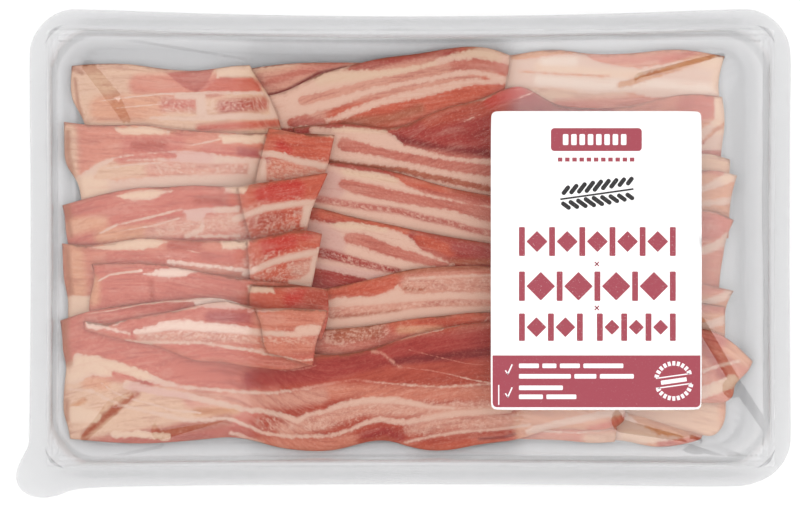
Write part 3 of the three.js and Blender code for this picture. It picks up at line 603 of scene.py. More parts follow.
MARKS["slice_left_4"] = [
    ("salmon", EVERYWHERE),
    ("pale", EVERYWHERE),
    ("peach", 3, "72,250 76,290"),
    ("rose", 2.4, "110,258 240,258"),
    ("crust", 1, 1.2, "65,250 66,270 68,292"),
    ("fat_area", "88,248 108,243 125,238 152,238 166,242 156,247 138,250 112,250"),
    ("cream", 2.5, "100,246 155,243"),
    ("fat_area", "218,238 255,238 246,249 222,249"),
    ("cream", 2, "222,244 250,243"),
    ("red", 2, "172,245 196,243"),
    ("fat", 0.15, "186,250 198,253"),
    ("fat", 0.7, 0.5, "167,262 190,264 215,267 250,271"),
    ("white", 2, "167,262 250,270"),
    ("fat_area", "60,296 90,296 92,322 60,322"),
    ("cream", 5, "66,304 84,306"),
    ("lean_area", "250,234 330,220 330,288 246,292"),
    ("orange", 6, "252,256 322,236"),
    ("bright", 3.4, 2.6, "270,246 290,241"),
    ("bright", 1.4, "304,236 314,232"),
    ("fat", 0.9, 1.2, "244,274 278,260 320,251"),
    ("orange", 4, "254,280 285,272"),
    ("tan", 2.4, "296,270 312,266"),
    ("fat_area", "288,280 300,279 309,272 312,256 322,252 314,290 288,288"),
    ("marble", 8, "258,276 306,270"),
]
MARKS["slice_left_5"] = [
    ("rose", EVERYWHERE),
    ("pale", EVERYWHERE),
    ("peach", 2, "92,282 92,300"),
    ("red", 0.8, "150,282 151,300"),
    ("fat", 0.2, 0.5, "97,281 108,275 120,273 140,271"),
    ("fat_area", "142,274 159,269 178,267 198,271 184,276 168,278 150,276"),
    ("white", 2.5, "143,273 196,272"),
    ("lean_area", "246,272 334,276 334,318 246,310"),
    ("orange", 4, "252,302 276,300"),
    ("bright", 2.2, "290,300 303,294"),
    ("red", 3, "312,298 330,298"),
    ("fat_area", "246,285 272,287 274,293 248,293"),
    ("cream", 2, "252,290 270,290"),
]
MARKS["slice_front"] = [
    ("red", 40, "280,362 490,355"),
    ("rose", 18, "60,360 225,372"),
    ("pale", 40, 22, "60,360 230,372"),
    ("deep", 3, 5, "250,380 320,372 400,350 490,345"),
    ("blush", 11, 6.5, "68,410 160,408"),
    ("blush", 6.5, 3, "160,408 232,406"),
    ("tan", 2.6, 1.6, "190,402 232,403"),
    ("vein", 7, "190,358 300,368 490,352"),
    ("dark", 1.4, "395,362 490,352"),
    ("crust", 1.4, 1.2, "63,322 63,345 67,364"),
    ("crust", 0.8, "65,402 65,420"),
    ("fat", 0.15, 0.3, "86,314 109,311 138,305 165,302 190,301"),
    ("fat_area", FAT_BLOB),
    ("white", 3, "194,303 248,306"),
    ("fat", 2, 1.6, "76,360 95,362 120,369 142,376"),
    ("fat", 1.6, 0.6, "142,376 160,383 180,388"),
    ("fat", 0.6, 0.35, "180,388 207,390 240,393 270,394 300,390 325,385"),
    ("fat", 0.35, 0.25, "325,385 355,380 375,383 410,386 441,388 500,384"),
    ("fat_area", "58,368 70,360 90,358 105,366 112,378 90,376 76,384 58,386"),
    ("cream", 4, 3, "66,372 90,364 140,376"),
    ("peach", 2, "85,383 102,385"),
    ("red", 1.6, "134,386 146,384"),
    ("fat", 0.25, "170,347 180,353 193,362 205,360 225,364 245,360"),
    ("fat", 0.25, "245,360 262,366 285,371 305,369 316,366"),
    ("fat", 0.3, "310,357 325,353 355,352 385,344 410,337 440,330"),
    ("fat", 0.3, "440,330 470,322 488,314"),
    ("fat", 0.5, 0.4, "372,352 381,353 389,359 395,365 401,368"),
    ("pink", 1, "372,352 400,368"),
    ("fat", 0.15, 0.2, "403,368 430,371 450,375 474,381 500,385"),
    ("fat", 0.12, 0.15, "408,350 440,358 466,364 500,367"),
    ("salmon", 2.4, "330,392 400,394 490,394"),
    ("tan", 2.6, "230,400 280,402 320,396"),
    ("amber", 1.2, 1, "196,413 236,411"),
    # Painted shade: brown lines on the meat under the film's tension folds, in place of the darkening that
    # the folds give
    ("brown", 1, 1.2, "82,436 112,411"),
    ("brown", 1.2, 0.8, "112,411 136,395"),
    ("brown", 1.6, 2, "160,434 198,427 226,421"),
    ("amber", 0.8, "70,408 82,401"),
    ("fat", 1.4, 0.7, "125,385 150,391 180,396 200,400 225,406 243,410"),
    ("lilac", 2.6, "132,390 180,398"),
    ("fat", 0.9, 0.8, "240,410 262,412 280,416 297,422 307,416 330,411"),
    ("fat", 1, 1.2, "330,410 350,404 370,401 395,401"),
    ("fat", 1.2, 0.3, "395,401 412,404 432,408 455,409"),
    ("fat", 0.4, 0.5, "68,390 90,392 105,400 120,406 140,411 165,417"),
    ("fat", 0.7, 0.5, "165,417 185,421 207,421 225,419 240,424 262,434"),
    ("fat", 0.5, 0.9, "262,434 290,438 330,437 350,431 365,424 380,420"),
    ("fat", 0.9, 1.1, "380,420 395,423 410,423 430,419 455,415 510,411"),
    ("fat", 0.2, 0.3, "100,384 110,392 125,399 150,405 170,411 200,414"),
    ("tan", 2.6, 2, "285,430 320,424 355,411 375,408"),
    ("tan", 2.4, 2, "375,410 430,412 500,409"),
    ("tan", 1.6, 2, "410,431 455,424 520,420"),
    ("marble", 3, "262,424 320,424 375,408 500,409"),
    ("marble", 3, "410,431 520,421"),
    ("deep", 1.6, "366,437 384,432 400,439"),
    ("fat", 0.5, "404,444 430,438 460,433 500,430 530,426"),
    ("fat", 2.6, 2.2, "72,415 92,418"),
    ("cream", 4, "70,416 110,426 165,436"),
    ("fat", 1, 1.2, "112,436 135,435 165,438"),
    ("fat", 0.5, "230,434 246,439 262,444"),
    ("salmon", 2.2, "262,446 330,446 350,442"),
    ("orange", 1.4, "404,448 441,449 475,444 530,438"),
    ("dark", 0.5, "480,440 505,438 527,432"),
    ("pale", 10, "540,425 630,425"),
    ("peach", 10, "545,425 630,425"),
    ("fat", 1.2, "530,432 560,424 600,416 622,412"),
    ("orange", 1.2, "592,430 610,426 624,420"),
    ("brown", 0.5, "596,436 618,428 627,420 626,412"),
]
MARKS["slice_upper"] = [
    ("rose", EVERYWHERE),
    ("pale", 30, 20, "60,335 225,335"),
    ("fat", 1.5, 1.3, "88,324 98,326"),
    ("fat", 0.7, 0.5, "98,326 115,331 128,334"),
    ("fat", 0.3, 0.35, "112,326 129,317 150,314 172,311 195,308"),
    ("fat_area", FAT_BLOB),
    ("lilac", 3, "205,314 262,317"),
    ("purple", 1.8, "210,317 260,318"),
    ("fat", 0.8, 1.8, "134,333 150,330 165,326 180,325"),
    ("fat", 1.8, 1, "180,325 205,327 240,330 262,333"),
    ("fat", 0.8, "262,333 300,335"),
    ("white", 3, "84,324 180,325 240,329"),
    ("tan", 1.8, "140,338 200,336 258,340"),
    ("fat", 0.4, 0.6, "125,341 145,343 165,343 200,343 225,347 262,352"),
    ("marble", 3, "146,338 200,334 320,338"),
    ("fat", 0.4, "249,311 273,310 291,308 309,309 330,310"),
    ("salmon", 4, "264,320 318,320"),
    ("salmon", 3, "262,345 305,345"),
    ("fat", 1.8, "300,331 316,330"),
    ("fat", 0.3, "261,354 282,357 300,361 312,360"),
]


def plan(points):
    """Photo pixels as places on the pack, in metres."""
    array = np.array(points, float)
    return np.stack([(array[:, 0] - ORIGIN_PIXEL[0]) * PIXEL, (ORIGIN_PIXEL[1] - array[:, 1]) * PIXEL], 1)


def line_distance(places, line, first, last):
    """Distance in millimetres of each place from the edge of a line with two half widths."""
    best = np.full(len(places), FAR_AWAY)
    spans = len(line) - 1
    for i in range(spans):
        run = line[i + 1] - line[i]
        share = np.clip(((places - line[i]) @ run) / (run @ run), 0, 1)
        off = np.linalg.norm(places - line[i] - share[:, None] * run, axis=1) / MM
        width = first + (last - first) * (i + share) / spans
        best = np.minimum(best, off - width)
    return best


def area_distance(places, corners):
    """Signed distance in millimetres of each place from an outline, negative inside."""
    inside = np.zeros(len(places), bool)
    best = np.full(len(places), FAR_AWAY)
    for a, b in zip(corners, np.roll(corners, -1, axis=0)):
        run = b - a
        share = np.clip(((places - a) @ run) / (run @ run), 0, 1)
        best = np.minimum(best, np.linalg.norm(places - a - share[:, None] * run, axis=1) / MM)
        crosses = (a[1] > places[:, 1]) != (b[1] > places[:, 1])
        rise = run[1] if abs(run[1]) > TINY else TINY
        inside ^= crosses & (places[:, 0] < a[0] + (places[:, 1] - a[1]) * run[0] / rise)
    return np.where(inside, -best, best)


def put_attribute(mesh, name, kind, values):
    """Store one value or colour per vertex under a name."""
    attribute = mesh.attributes.new(name, kind, "POINT")
    field = {"FLOAT": "value", "FLOAT_VECTOR": "vector", "FLOAT_COLOR": "color"}[kind]
    attribute.data.foreach_set(field, np.asarray(values, np.float32).ravel())


def read_vertices(mesh, field="co"):
    """The places or normals of a mesh's vertices as an array."""
    flat = np.empty(len(mesh.vertices) * 3, np.float32)
    mesh.vertices.foreach_get(field, flat)
    return flat.reshape(-1, 3).astype(float)


def move_vertices(mesh, places):
    mesh.vertices.foreach_set("co", places.astype(np.float32).ravel())
    mesh.update()


def new_piece(name, mesh, material, slot_name, *nodes):
    """Link a finished mesh as a piece of the pack."""
    piece = bpy.data.objects.new(name, mesh)
    bpy.context.scene.collection.objects.link(piece)
    mesh.materials.clear()
    mesh.materials.append(material)
    mesh.shade_smooth()
    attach(piece, "root")
    if nodes:
        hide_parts(*nodes)
    return piece


def smooth_copy(node, refine, crease_angle, thinning=0.0):
    """A subdivided copy of a CAD node with sharp rims, and the lines of its upper rims."""
    shape = bmesh.new()
    shape.from_mesh(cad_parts[node].data)
    bmesh.ops.remove_doubles(shape, verts=shape.verts, dist=WELD_REACH)
    bmesh.ops.join_triangles(
        shape, faces=shape.faces, angle_face_threshold=QUAD_ANGLES[0], angle_shape_threshold=QUAD_ANGLES[1],
    )
    crease = shape.edges.layers.float.new("crease_edge")
    rims = []
    for edge in shape.edges:
        if edge.is_manifold and edge.calc_face_angle(0) > crease_angle:
            edge[crease] = 1.0
            ends = [vert.co.xy for vert in edge.verts]
            upright = (ends[0] - ends[1]).length < UPRIGHT_REACH
            if not upright and max(vert.normal.z for vert in edge.verts) > 0:
                rims.append([end[:] for end in ends])
    if thinning:
        shape.normal_update()
        for vert in shape.verts:
            vert.co -= vert.normal * thinning
    mesh = bpy.data.meshes.new(node + "_form")
    shape.to_mesh(mesh)
    shape.free()
    holder = bpy.data.objects.new(node + "_form", mesh)
    bpy.context.scene.collection.objects.link(holder)
    modifier = holder.modifiers.new("Subdivision", "SUBSURF")
    modifier.levels = refine
    modifier.render_levels = refine
    graph = bpy.context.evaluated_depsgraph_get()
    finished = bpy.data.meshes.new_from_object(holder.evaluated_get(graph))
    bpy.data.objects.remove(holder)
    bpy.data.meshes.remove(mesh)
    for name in [a.name for a in finished.attributes if a.name.startswith("crease")]:
        finished.attributes.remove(finished.attributes[name])
    return finished, np.array(rims)


def refine_top(mesh):
    """Cut the upper faces of a mesh once more, so that thin streaks stay whole."""
    shape = bmesh.new()
    shape.from_mesh(mesh)
    edges = {edge for face in shape.faces if face.normal.z > UPWARD for edge in face.edges}
    edges = [edge for edge in shape.edges if edge in edges]
    bmesh.ops.subdivide_edges(shape, edges=edges, cuts=1, use_grid_fill=True)
    shape.to_mesh(mesh)
    shape.free()


def across_slice(places):
    """For each place, the way in millimetres from the slice's top long edge."""
    strips = np.round(places[:, 0] / STRIP_WIDTH).astype(int)
    first = strips.min()
    top = np.full(strips.max() - first + 1, -1.0)
    np.maximum.at(top, strips - first, places[:, 1])
    at = (places[:, 0] / STRIP_WIDTH) - first
    return (np.interp(at, np.arange(len(top)), top) - places[:, 1]) / MM


def read_mark(flat, mark):
    """What a mark is, how far each place is from its edge in millimetres, and how soft the edge is."""
    kind = mark[0]
    if mark[-1] is EVERYWHERE:
        return kind, np.full(len(flat), -EDGE_CLAMP), TONE_SOFTNESS
    points = plan([point.split(",") for point in mark[-1].split()])
    if kind.endswith("_area"):
        return kind.removesuffix("_area"), area_distance(flat, points), AREA_SOFTNESS
    first, last = mark[1], mark[-2]
    off = line_distance(flat, points, first, last)
    if kind in ("fat", "lean"):
        off = off * max(1.0, THIN_WIDTH / first)
    return kind, off, min(TONE_SOFTNESS, LINE_SOFTNESS[0] + LINE_SOFTNESS[1] * first)


def mark_slice(name, mesh, rims, seed):
    """Work out where a slice is fat and which tones it has, and store that on its vertices."""
    places = read_vertices(mesh)
    flat = places[:, :2]
    fat_edge = np.full(len(flat), EDGE_CLAMP)
    marble = np.full(len(flat), PLAIN_MARBLING)
    crust = np.zeros(len(flat))
    lean_tone = np.tile(np.array(LEAN), (len(flat), 1))
    fat_tone = np.tile(np.array(FAT), (len(flat), 1))
    for mark in MARKS[name]:
        kind, off, softness = read_mark(flat, mark)
        share = np.clip((softness - off) / (2 * softness), 0, 1)
        share = (share * share * (3 - 2 * share))[:, None]
        if kind == "fat":
            fat_edge = np.minimum(fat_edge, off)
        elif kind == "lean":
            fat_edge = np.maximum(fat_edge, -off)
        elif kind == "marble":
            marble = np.maximum(marble, share[:, 0])
        elif kind == "crust":
            crust = np.maximum(crust, share[:, 0])
        elif kind in TONES:
            lean_tone = lean_tone * (1 - share) + np.array(TONES[kind]) * share
        else:
            fat_tone = fat_tone * (1 - share) + np.array(FAT_TONES[kind]) * share
    from_rim = np.full(len(flat), EDGE_CLAMP)
    for rim in rims:
        from_rim = np.minimum(from_rim, line_distance(flat, rim, 0, 0))
    ones = np.ones((len(flat), 1))
    grain = np.stack([places[:, 0] / MM, across_slice(places), np.full(len(flat), seed * GRAIN_SHIFT)], 1)
    put_attribute(mesh, "fat_edge", "FLOAT", np.clip(fat_edge, -EDGE_CLAMP, EDGE_CLAMP))
    put_attribute(mesh, "marble", "FLOAT", marble)
    put_attribute(mesh, "crust", "FLOAT", crust)
    put_attribute(mesh, "lean_tone", "FLOAT_COLOR", np.hstack([lean_tone, ones]))
    put_attribute(mesh, "fat_tone", "FLOAT_COLOR", np.hstack([fat_tone, ones]))
    put_attribute(mesh, "from_edge", "FLOAT", from_rim)
    put_attribute(mesh, "grain", "FLOAT_VECTOR", grain)


class Nodes:
    """A small helper that adds shader nodes and links them."""

    def __init__(self, name):
        self.material = bpy.data.materials.new(name)
        self.material.use_nodes = True
        self.tree = self.material.node_tree
        self.tree.nodes.clear()
        self.output = self.tree.nodes.new("ShaderNodeOutputMaterial")

    def add(self, kind, inputs=None, **settings):
        node = self.tree.nodes.new("ShaderNode" + kind)
        for key, value in settings.items():
            setattr(node, key, value)
        for key, value in (inputs or {}).items():
            self.feed(node.inputs[key], value)
        return node

    def feed(self, socket, value):
        if isinstance(value, bpy.types.NodeSocket):
            self.tree.links.new(value, socket)
        elif isinstance(value, tuple) and len(value) == 3 and socket.type == "RGBA":
            socket.default_value = (*value, 1)
        else:
            socket.default_value = value

    def finish(self, shader):
        """Make a shader the surface of the material."""
        self.feed(self.output.inputs["Surface"], shader.outputs[0])
        return self.material

    def coated(self, colour, roughness, bump=None):
        """A plain surface with a weak sheen as the whole look of the material."""
        inputs = {"Base Color": colour, "Roughness": roughness, "Specular IOR Level": 0.3}
        if bump:
            inputs["Normal"] = bump.outputs[0]
        return self.finish(self.add("BsdfPrincipled", inputs))

    def math(self, operation, *values, clamp=False):
        node = self.add("Math", operation=operation, use_clamp=clamp)
        for socket, value in zip(node.inputs, values):
            self.feed(socket, value)
        return node.outputs[0]

    def vector(self, operation, *values):
        node = self.add("VectorMath", operation=operation)
        for socket, value in zip(node.inputs, values):
            self.feed(socket, value)
        return node.outputs["Value" if operation in ("LENGTH", "DOT_PRODUCT") else "Vector"]

    def times(self, first, second):
        return self.math("MULTIPLY", first, second)

    def swing(self, value, size):
        return self.times(self.math("SUBTRACT", value, 0.5), size)

    def darker(self, colour, share):
        return self.mix(share, (0.0, 0.0, 0.0), colour)

    def ramp(self, value, low, high):
        node = self.add("MapRange", {0: value, 1: low, 2: high}, interpolation_type="SMOOTHSTEP")
        return node.outputs[0]

    def mix(self, share, first, second):
        node = self.add("Mix", data_type="RGBA", clamp_factor=True)
        self.feed(node.inputs[0], share)
        self.feed(node.inputs[6], first)
        self.feed(node.inputs[7], second)
        return node.outputs[2]

    def place(self):
        return self.add("TexCoord").outputs["Object"]

    def attribute(self, name, output="Fac"):
        return self.add("Attribute", attribute_name=name).outputs[output]

    def noise(self, vector, scale, detail=3.0, rough=0.55):
        node = self.add("TexNoise", {"Vector": vector, "Scale": scale, "Detail": detail, "Roughness": rough})
        return node.outputs["Fac"]

    def stretched(self, vector, scale):
        return self.add("Mapping", {"Vector": vector, "Scale": scale}).outputs[0]


def smoked_meat():
    """Lean and fat of smoked pork belly with fine fibres, marbling and a darker rim."""
    n = Nodes("smoked_meat")
    grain = n.attribute("grain", "Vector")
    from_edge = n.attribute("from_edge")
    marble = n.attribute("marble")
    crust = n.attribute("crust")
    lean = n.attribute("lean_tone", "Color")
    fat = n.attribute("fat_tone", "Color")
    noises = {}
    for name, (stretch, detail, rough) in MEAT_NOISE.items():
        noises[name] = n.noise(n.stretched(grain, stretch), 1.0, detail, rough)
    broad, beads, flecks = noises["broad"], noises["beads"], noises["flecks"]

    border = n.attribute("fat_edge")
    for name, size in BORDER_SWINGS:
        border = n.math("ADD", border, n.swing(noises[name], size))
    is_fat = n.ramp(border, BORDER_WIDTH, -BORDER_WIDTH)

    other = {"pale": n.mix(PALE_SHARE, lean, fat), "dark": n.vector("MULTIPLY", lean, LEAN_SHADE)}
    for name, start, end, share, towards in LEAN_CHANGES:
        lean = n.mix(n.times(n.ramp(noises[name], start, end), share), lean, other[towards])
    mottle = n.math("MULTIPLY_ADD", flecks, MOTTLE_MIX[0], n.times(beads, MOTTLE_MIX[1]))
    mottle = n.ramp(n.math("MULTIPLY_ADD", marble, MOTTLE_MIX[2], mottle), *MOTTLE_RANGE)
    lean = n.mix(n.times(mottle, n.math("MULTIPLY_ADD", marble, *MOTTLE_SHARE)), lean, fat)
    for name, start, end, share in FAT_CHANGES:
        fat = n.mix(n.times(n.ramp(noises[name], start, end), share), fat, lean)
    fat = n.mix(n.times(n.ramp(border, *FAT_BLEED[:2]), FAT_BLEED[2]), fat, lean)
    colour = n.mix(is_fat, lean, fat)

    from_top = n.add("SeparateXYZ", {0: grain}).outputs["Y"]
    upper = n.math("MULTIPLY_ADD", n.ramp(from_top, *RIND_REACH), *RIND_SHARE)
    upper = n.times(upper, n.math("MULTIPLY_ADD", n.ramp(broad, 0.4, 0.6), 0.6, 0.5))
    # Dark and brown rim lines: the meat's own darker cut edge, and painted contact shadow where a folded end
    # of the slice lies over the part beneath
    rim = n.math("ADD", from_edge, n.swing(beads, RIM_SWING))
    crust = n.math("MULTIPLY", crust, n.math("ADD", 0.45, n.times(beads, 0.8)), clamp=True)
    colour = n.mix(n.times(crust, CRUST_SHARE), colour, CRUST)
    colour = n.mix(n.times(n.ramp(rim, *BROWN_RIM[:2]), BROWN_RIM[2]), colour, CRUST)
    colour = n.mix(n.times(n.ramp(rim, *DARK_RIM), upper), colour, RIM_LINE)

    bump = n.add("Bump", {"Height": flecks, "Strength": 0.3, "Distance": 0.25 * MM})
    return n.coated(colour, 0.42, bump)


def fold_height(n, place, fold):
    """Height of one tension fold over a place: a ridge with straight sides and tapering width."""
    slope, first, last, start, end = fold
    ends = plan([start, end])
    from_start = (float(ends[0][0]), float(ends[0][1]), 0.0)
    run = (float(ends[1][0] - ends[0][0]), float(ends[1][1] - ends[0][1]), 0.0)
    away = n.vector("SUBTRACT", place, from_start)
    share = n.math("DIVIDE", n.vector("DOT_PRODUCT", away, run), math.hypot(*run) ** 2, clamp=True)
    along = n.add("VectorMath", {0: run, "Scale": share}, operation="SCALE")
    off = n.vector("LENGTH", n.vector("SUBTRACT", away, along.outputs[0]))
    width = n.math("MULTIPLY_ADD", share, (last - first) * MM, first * MM)
    inside = n.math("MAXIMUM", n.math("SUBTRACT", width, off), 0.0)
    return n.times(inside, slope)


def clear_plastic(name, tint, gloss_look, wave_height, folds):
    """Clear sheet: lets light through, with a milky haze where it is sealed and a sheen of gloss."""
    n = Nodes(name)
    level = n.vector("MULTIPLY", n.place(), (1.0, 1.0, 0.0))
    height = n.times(n.noise(level, WAVE_SCALE, 1.0, 0.5), wave_height)
    for fold in folds:
        height = n.math("ADD", height, fold_height(n, level, fold))
    bump = n.add("Bump", {"Height": height, "Strength": 1.0, "Distance": 1.0})
    haze = n.attribute("haze")
    tilt = n.add("LayerWeight", {"Blend": 0.5, "Normal": bump.outputs[0]}).outputs["Facing"]
    clear = n.mix(n.ramp(tilt, *WALL_TILT), tint, n.darker(tint, WALL_SHADE))
    # Painted shade: the through colour is darker along the middle of the flange's long sides
    clear = n.mix(n.attribute("painted_flange_shade"), clear, n.darker(clear, FLANGE_PAINTED_SHADE))
    through = n.add("BsdfTransparent", {"Color": clear})
    milk = n.add("BsdfDiffuse", {"Color": MILK, "Roughness": 0.3})
    rough = n.math("MULTIPLY_ADD", haze, HAZE_ROUGHNESS, gloss_look[1])
    gloss = n.add("BsdfGlossy", {"Color": (1.0, 1.0, 1.0), "Roughness": rough, "Normal": bump.outputs[0]})
    steep = n.math("POWER", tilt, STEEP_POWER)
    shine = n.math("MULTIPLY_ADD", steep, STEEP_GLOSS, gloss_look[0], clamp=True)
    body = n.add("MixShader", {0: haze, 1: through.outputs[0], 2: milk.outputs[0]})
    return n.finish(n.add("MixShader", {0: shine, 1: body.outputs[0], 2: gloss.outputs[0]}))


def label_paper():
    """Smooth white label paper with a very faint grain."""
    n = Nodes("label_paper")
    grain = n.noise(n.place(), PAPER_SCALE, 4.0, 0.6)
    colour = n.mix(n.times(grain, 0.25), PAPER, PAPER_GRAIN)
    bump = n.add("Bump", {"Height": grain, "Strength": 0.1, "Distance": 0.02 * MM})
    return n.coated(colour, 0.5, bump)


def printed_ink(name, tone, patch):
    """Printed ink with slightly uneven cover."""
    n = Nodes(name)
    cover = n.ramp(n.noise(n.place(), INK_SCALE, 4.0, 0.7), *INK_GAPS)
    colour = n.mix(n.times(cover, patch), tone, BARE_PAPER)
    return n.coated(colour, 0.5)


def floor_white():
    """Seamless white studio floor."""
    n = Nodes("studio_floor")
    tone = n.mix(n.noise(n.place(), 3.0), *FLOOR_TONES)
    return n.finish(n.add("BsdfDiffuse", {"Color": tone}))


def build_slices(material):
    for seed, name in enumerate(SLICE_NODES):
        mesh, rims = smooth_copy(name, SLICE_REFINE, RIM_ANGLE, SLICE_THINNING)
        refine_top(mesh)
        mark_slice(name, mesh, rims, seed + 1)
        new_piece("meat_" + name, mesh, material, "smoked_meat", name)


def build_tray(material):
    mesh, _ = smooth_copy("tray", TRAY_REFINE, TRAY_RIM_ANGLE)
    places = read_vertices(mesh)
    put_attribute(mesh, "haze", "FLOAT", np.where(places[:, 2] > LEDGE_HEIGHT, SEALED_HAZE, 0.0))
    # Painted shade along the middle of the flange's long sides, fading out towards the ends
    off = np.abs(places[:, :2] - plan([OPENING_MIDDLE])[0])
    painted_flange_shade = np.exp(-((off[:, 1] - FLANGE_SHADE_LINE) / FLANGE_SHADE_WIDTH) ** 2)
    painted_flange_shade *= np.clip((OPENING_REACH[0] - off[:, 0]) / FLANGE_SHADE_FADE, 0, 1)
    put_attribute(mesh, "painted_flange_shade", "FLOAT", painted_flange_shade)
    new_piece("clear_tray", mesh, material, "tray_plastic", "tray")


def build_lid(material):
    """The lid film as one thin sheet: the upper face of its solid."""
    mesh, _ = smooth_copy("lid_film", FILM_REFINE, RIM_ANGLE)
    shape = bmesh.new()
    shape.from_mesh(mesh)
    underside = [face for face in shape.faces if face.normal.z < UNDERSIDE]
    bmesh.ops.delete(shape, geom=underside, context="FACES")
    shape.to_mesh(mesh)
    shape.free()
    places = read_vertices(mesh)
    middle = plan([OPENING_MIDDLE])[0]
    inward = np.min(np.array(OPENING_REACH) - np.abs(places[:, :2] - middle), axis=1)
    share = np.clip(inward / FILM_RISE, 0, 1)
    sunk = FILM_TOP + (FILM_LEVEL - FILM_TOP) * share * share * (3 - 2 * share)
    places[:, 2] = np.where(inward > 0, sunk, FILM_TOP)
    move_vertices(mesh, places)
    put_attribute(mesh, "haze", "FLOAT", np.where(inward > -FILM_SEAL, FILM_HAZE, SEALED_HAZE))
    new_piece("clear_lid_film", mesh, material, "lid_plastic", "lid_film")


def build_label(material):
    """The label as a flat sheet: its solid's upper face and underside made level."""
    mesh, _ = smooth_copy("label", LABEL_REFINE, RIM_ANGLE)
    places = read_vertices(mesh)
    upper = read_vertices(mesh, "normal")[:, 2] > 0
    places[:, 2] = np.where(upper, LABEL_TOP, LABEL_TOP - LABEL_THICK)
    move_vertices(mesh, places)
    new_piece("label_sheet", mesh, material, "label_paper", "label")


def build_print(name, boxes, material, lift=PRINT_LIFT):
    """Flat printed fields on the label: boxes in pixels with a corner radius and a turn in degrees."""
    mesh = bpy.data.meshes.new(name)
    shape = bmesh.new()
    for x0, y0, x1, y1, corner, turn in boxes:
        corners = plan([(x0, y0), (x1, y1)])
        centre = corners.mean(0)
        size = np.abs(corners[1] - corners[0])
        placing = Matrix.Translation((*centre, LABEL_TOP + lift))
        placing = placing @ Matrix.Rotation(math.radians(turn), 4, "Z")
        made = bmesh.ops.create_grid(shape, x_segments=1, y_segments=1, size=0.5)
        bmesh.ops.scale(shape, verts=made["verts"], vec=(size[0], size[1], 1))
        bmesh.ops.transform(shape, verts=made["verts"], matrix=placing)
        if corner:
            bmesh.ops.bevel(shape, geom=made["verts"], offset=corner * PIXEL, segments=4, profile=0.5,
                            affect="VERTICES", material=-1)
    shape.to_mesh(mesh)
    shape.free()
    new_piece(name, mesh, material, "label_paper")


def bar_row(left, pitch, width, top, bottom, corner, count):
    """Equal upright bars side by side."""
    return [(left + pitch * i, top, left + pitch * i + width, bottom, corner, 0) for i in range(count)]


def frieze_row(left, right, top, bottom, count):
    """A plain frieze where a title line would be: upright bars with a lozenge between each two."""
    middle = (top + bottom) / 2
    pitch = (right - left - FRIEZE_BAR) / count
    half = (pitch - FRIEZE_BAR - 2 * FRIEZE_GAP) / 2 / math.sqrt(2)
    boxes = bar_row(left, pitch, FRIEZE_BAR, top, bottom, 1.0, count + 1)
    for i in range(count):
        centre = left + (i + 0.5) * pitch + FRIEZE_BAR / 2
        boxes.append((centre - half, middle - half, centre + half, middle + half, 0.8, 45))
    return boxes


def crosses():
    """Small crosses between the friezes."""
    long, thin = CROSS_SIZE
    boxes = []
    for row in CROSS_ROWS:
        for turn in (45, -45):
            boxes.append((CROSS_COLUMN - long, row - thin, CROSS_COLUMN + long, row + thin, 0, turn))
    return boxes


def sprig():
    """A stem with pairs of leaves that get shorter towards both ends."""
    boxes = [SPRIG_STEM]
    for i in range(LEAF_PAIRS):
        x = LEAF_START[0] + LEAF_STEP[0] * i
        y = LEAF_START[1] + LEAF_STEP[1] * i
        reach = LEAF_REACH - abs(i - LONGEST_LEAF) * LEAF_TAPER
        for top, bottom, turn in LEAVES:
            boxes.append((x - reach, y + top, x + reach, y + bottom, LEAF_CORNER, turn))
    return boxes


def band_marks():
    """Bars in rows with ticks before them, and a line along the side of the band."""
    boxes = []
    for row, widths in BAR_ROWS:
        x = BAR_START
        for width in widths:
            boxes.append((x, row - BAR_RISE[0], x + width, row + BAR_RISE[1], 1.0, 0))
            x += width + BAR_SPACE
    for low in TICK_LOWS:
        for left, right, height, turn in TICK_STROKES:
            boxes.append((left, low - height, right, low, 0, turn))
    return boxes + [SIDE_LINE]


def ring():
    """A ring of dashes that is open on both sides, where slanted bars cross it."""
    long, thin = RING_DASH
    boxes = []
    for i in range(RING_DASHES):
        angle = 2 * math.pi * i / RING_DASHES
        x = RING_MIDDLE[0] + RING_RADIUS * math.cos(angle)
        y = RING_MIDDLE[1] - RING_RADIUS * math.sin(angle)
        if abs(math.sin(angle - RING_TURN)) > RING_OPENING:
            boxes.append((x - long, y - thin, x + long, y + thin, 0, math.degrees(angle)))
    return boxes + RING_BARS


def build_label_print():
    """Generic print: a plain badge, a leafy sprig, friezes, and a red band with bars and a ring."""
    red = printed_ink("label_red", INK_RED, 0.25)
    worn = printed_ink("label_worn_red", INK_RED, 1.0)
    dark = printed_ink("label_dark", INK_DARK, 0.3)
    white = printed_ink("label_white", INK_WHITE, 0.1)
    build_print("label_band", [(*BAND, 0)], red)
    build_print("label_band_top", [(*BAND_TOP, 0)], red, UPPER_PRINT_LIFT)
    build_print("label_badge", [(*BADGE, 0)], red)
    build_print("label_friezes", [box for row in FRIEZES for box in frieze_row(*row)], worn)
    build_print("label_small_marks", bar_row(*DASHES) + crosses(), worn)
    build_print("label_sprig", sprig(), dark)
    build_print("label_white_marks", bar_row(*BADGE_BARS) + band_marks() + ring(), white, TOP_PRINT_LIFT)


def build_floor():
    mesh = bpy.data.meshes.new("studio_floor")
    shape = bmesh.new()
    bmesh.ops.create_grid(shape, x_segments=4, y_segments=4, size=FLOOR_SIZE / 2)
    bmesh.ops.translate(shape, verts=shape.verts, vec=(0, 0, -FLOOR_DROP))
    shape.to_mesh(mesh)
    shape.free()
    mesh.materials.append(floor_white())
    floor = bpy.data.objects.new("studio_floor", mesh)
    bpy.context.scene.collection.objects.link(floor)


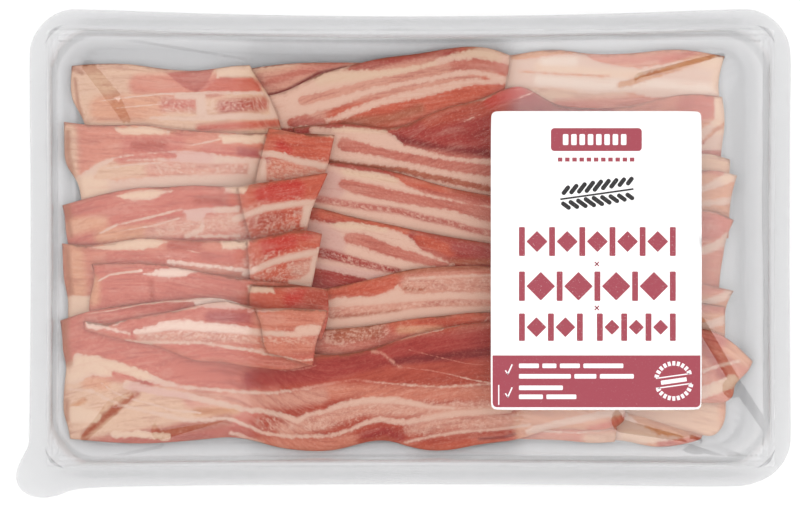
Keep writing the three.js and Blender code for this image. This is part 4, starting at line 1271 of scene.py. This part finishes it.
def build_room():
    """White all round, with a dark spot straight above that keeps the film's middle clear."""
    world = bpy.data.worlds.new("studio")
    world.use_nodes = True
    tree = world.node_tree
    background = tree.nodes["Background"]
    background.inputs[1].default_value = 1.0
    direction = tree.nodes.new("ShaderNodeTexCoord")
    split = tree.nodes.new("ShaderNodeSeparateXYZ")
    fade = tree.nodes.new("ShaderNodeMapRange")
    fade.interpolation_type = "SMOOTHSTEP"
    for index, value in ((1, SPOT_EDGE[0]), (2, SPOT_EDGE[1]), (3, ROOM_LIGHT), (4, SPOT_LIGHT)):
        fade.inputs[index].default_value = value
    tree.links.new(direction.outputs["Generated"], split.inputs[0])
    tree.links.new(split.outputs["Z"], fade.inputs[0])
    tree.links.new(fade.outputs[0], background.inputs[0])
    bpy.context.scene.world = world


def build_light_box(name, near, far, strength):
    """A long lamp above one side of the pack, between two distances from its middle."""
    light = bpy.data.lights.new(name, "AREA")
    light.shape = "RECTANGLE"
    light.size = abs(far - near)
    light.size_y = BOX_LENGTH
    light.energy = strength * math.pi * light.size * light.size_y
    lamp = bpy.data.objects.new(name, light)
    bpy.context.scene.collection.objects.link(lamp)
    lamp.location = ((near + far) / 2, 0, BOX_HEIGHT)


def build_camera():
    """A camera straight above the pack, framed as the photo is."""
    data = bpy.data.cameras.new("camera")
    camera = bpy.data.objects.new("camera", data)
    bpy.context.scene.collection.objects.link(camera)
    middle = plan([(PHOTO_SIZE[0] / 2, PHOTO_SIZE[1] / 2)])[0]
    camera.location = (middle[0], middle[1], CAMERA_HEIGHT)
    data.sensor_width = SENSOR
    data.lens = SENSOR * (CAMERA_HEIGHT - FLANGE_HEIGHT) / (PHOTO_SIZE[0] * PIXEL)
    data.clip_end = 20
    bpy.context.scene.camera = camera


build_camera()
build_floor()
build_room()
build_light_box("left_light_box", *LEFT_BOX, LEFT_LIGHT)
build_light_box("right_light_box", *RIGHT_BOX, RIGHT_LIGHT)
bpy.context.scene.view_settings.view_transform = "Standard"
bpy.context.scene.view_settings.look = "None"
build_slices(smoked_meat())
build_tray(clear_plastic("tray_plastic", TRAY_TINT, TRAY_GLOSS, TRAY_WAVES, []))
build_lid(clear_plastic("lid_plastic", FILM_TINT, FILM_GLOSS, FILM_WAVES, FOLDS))
build_label(label_paper())
build_label_print()
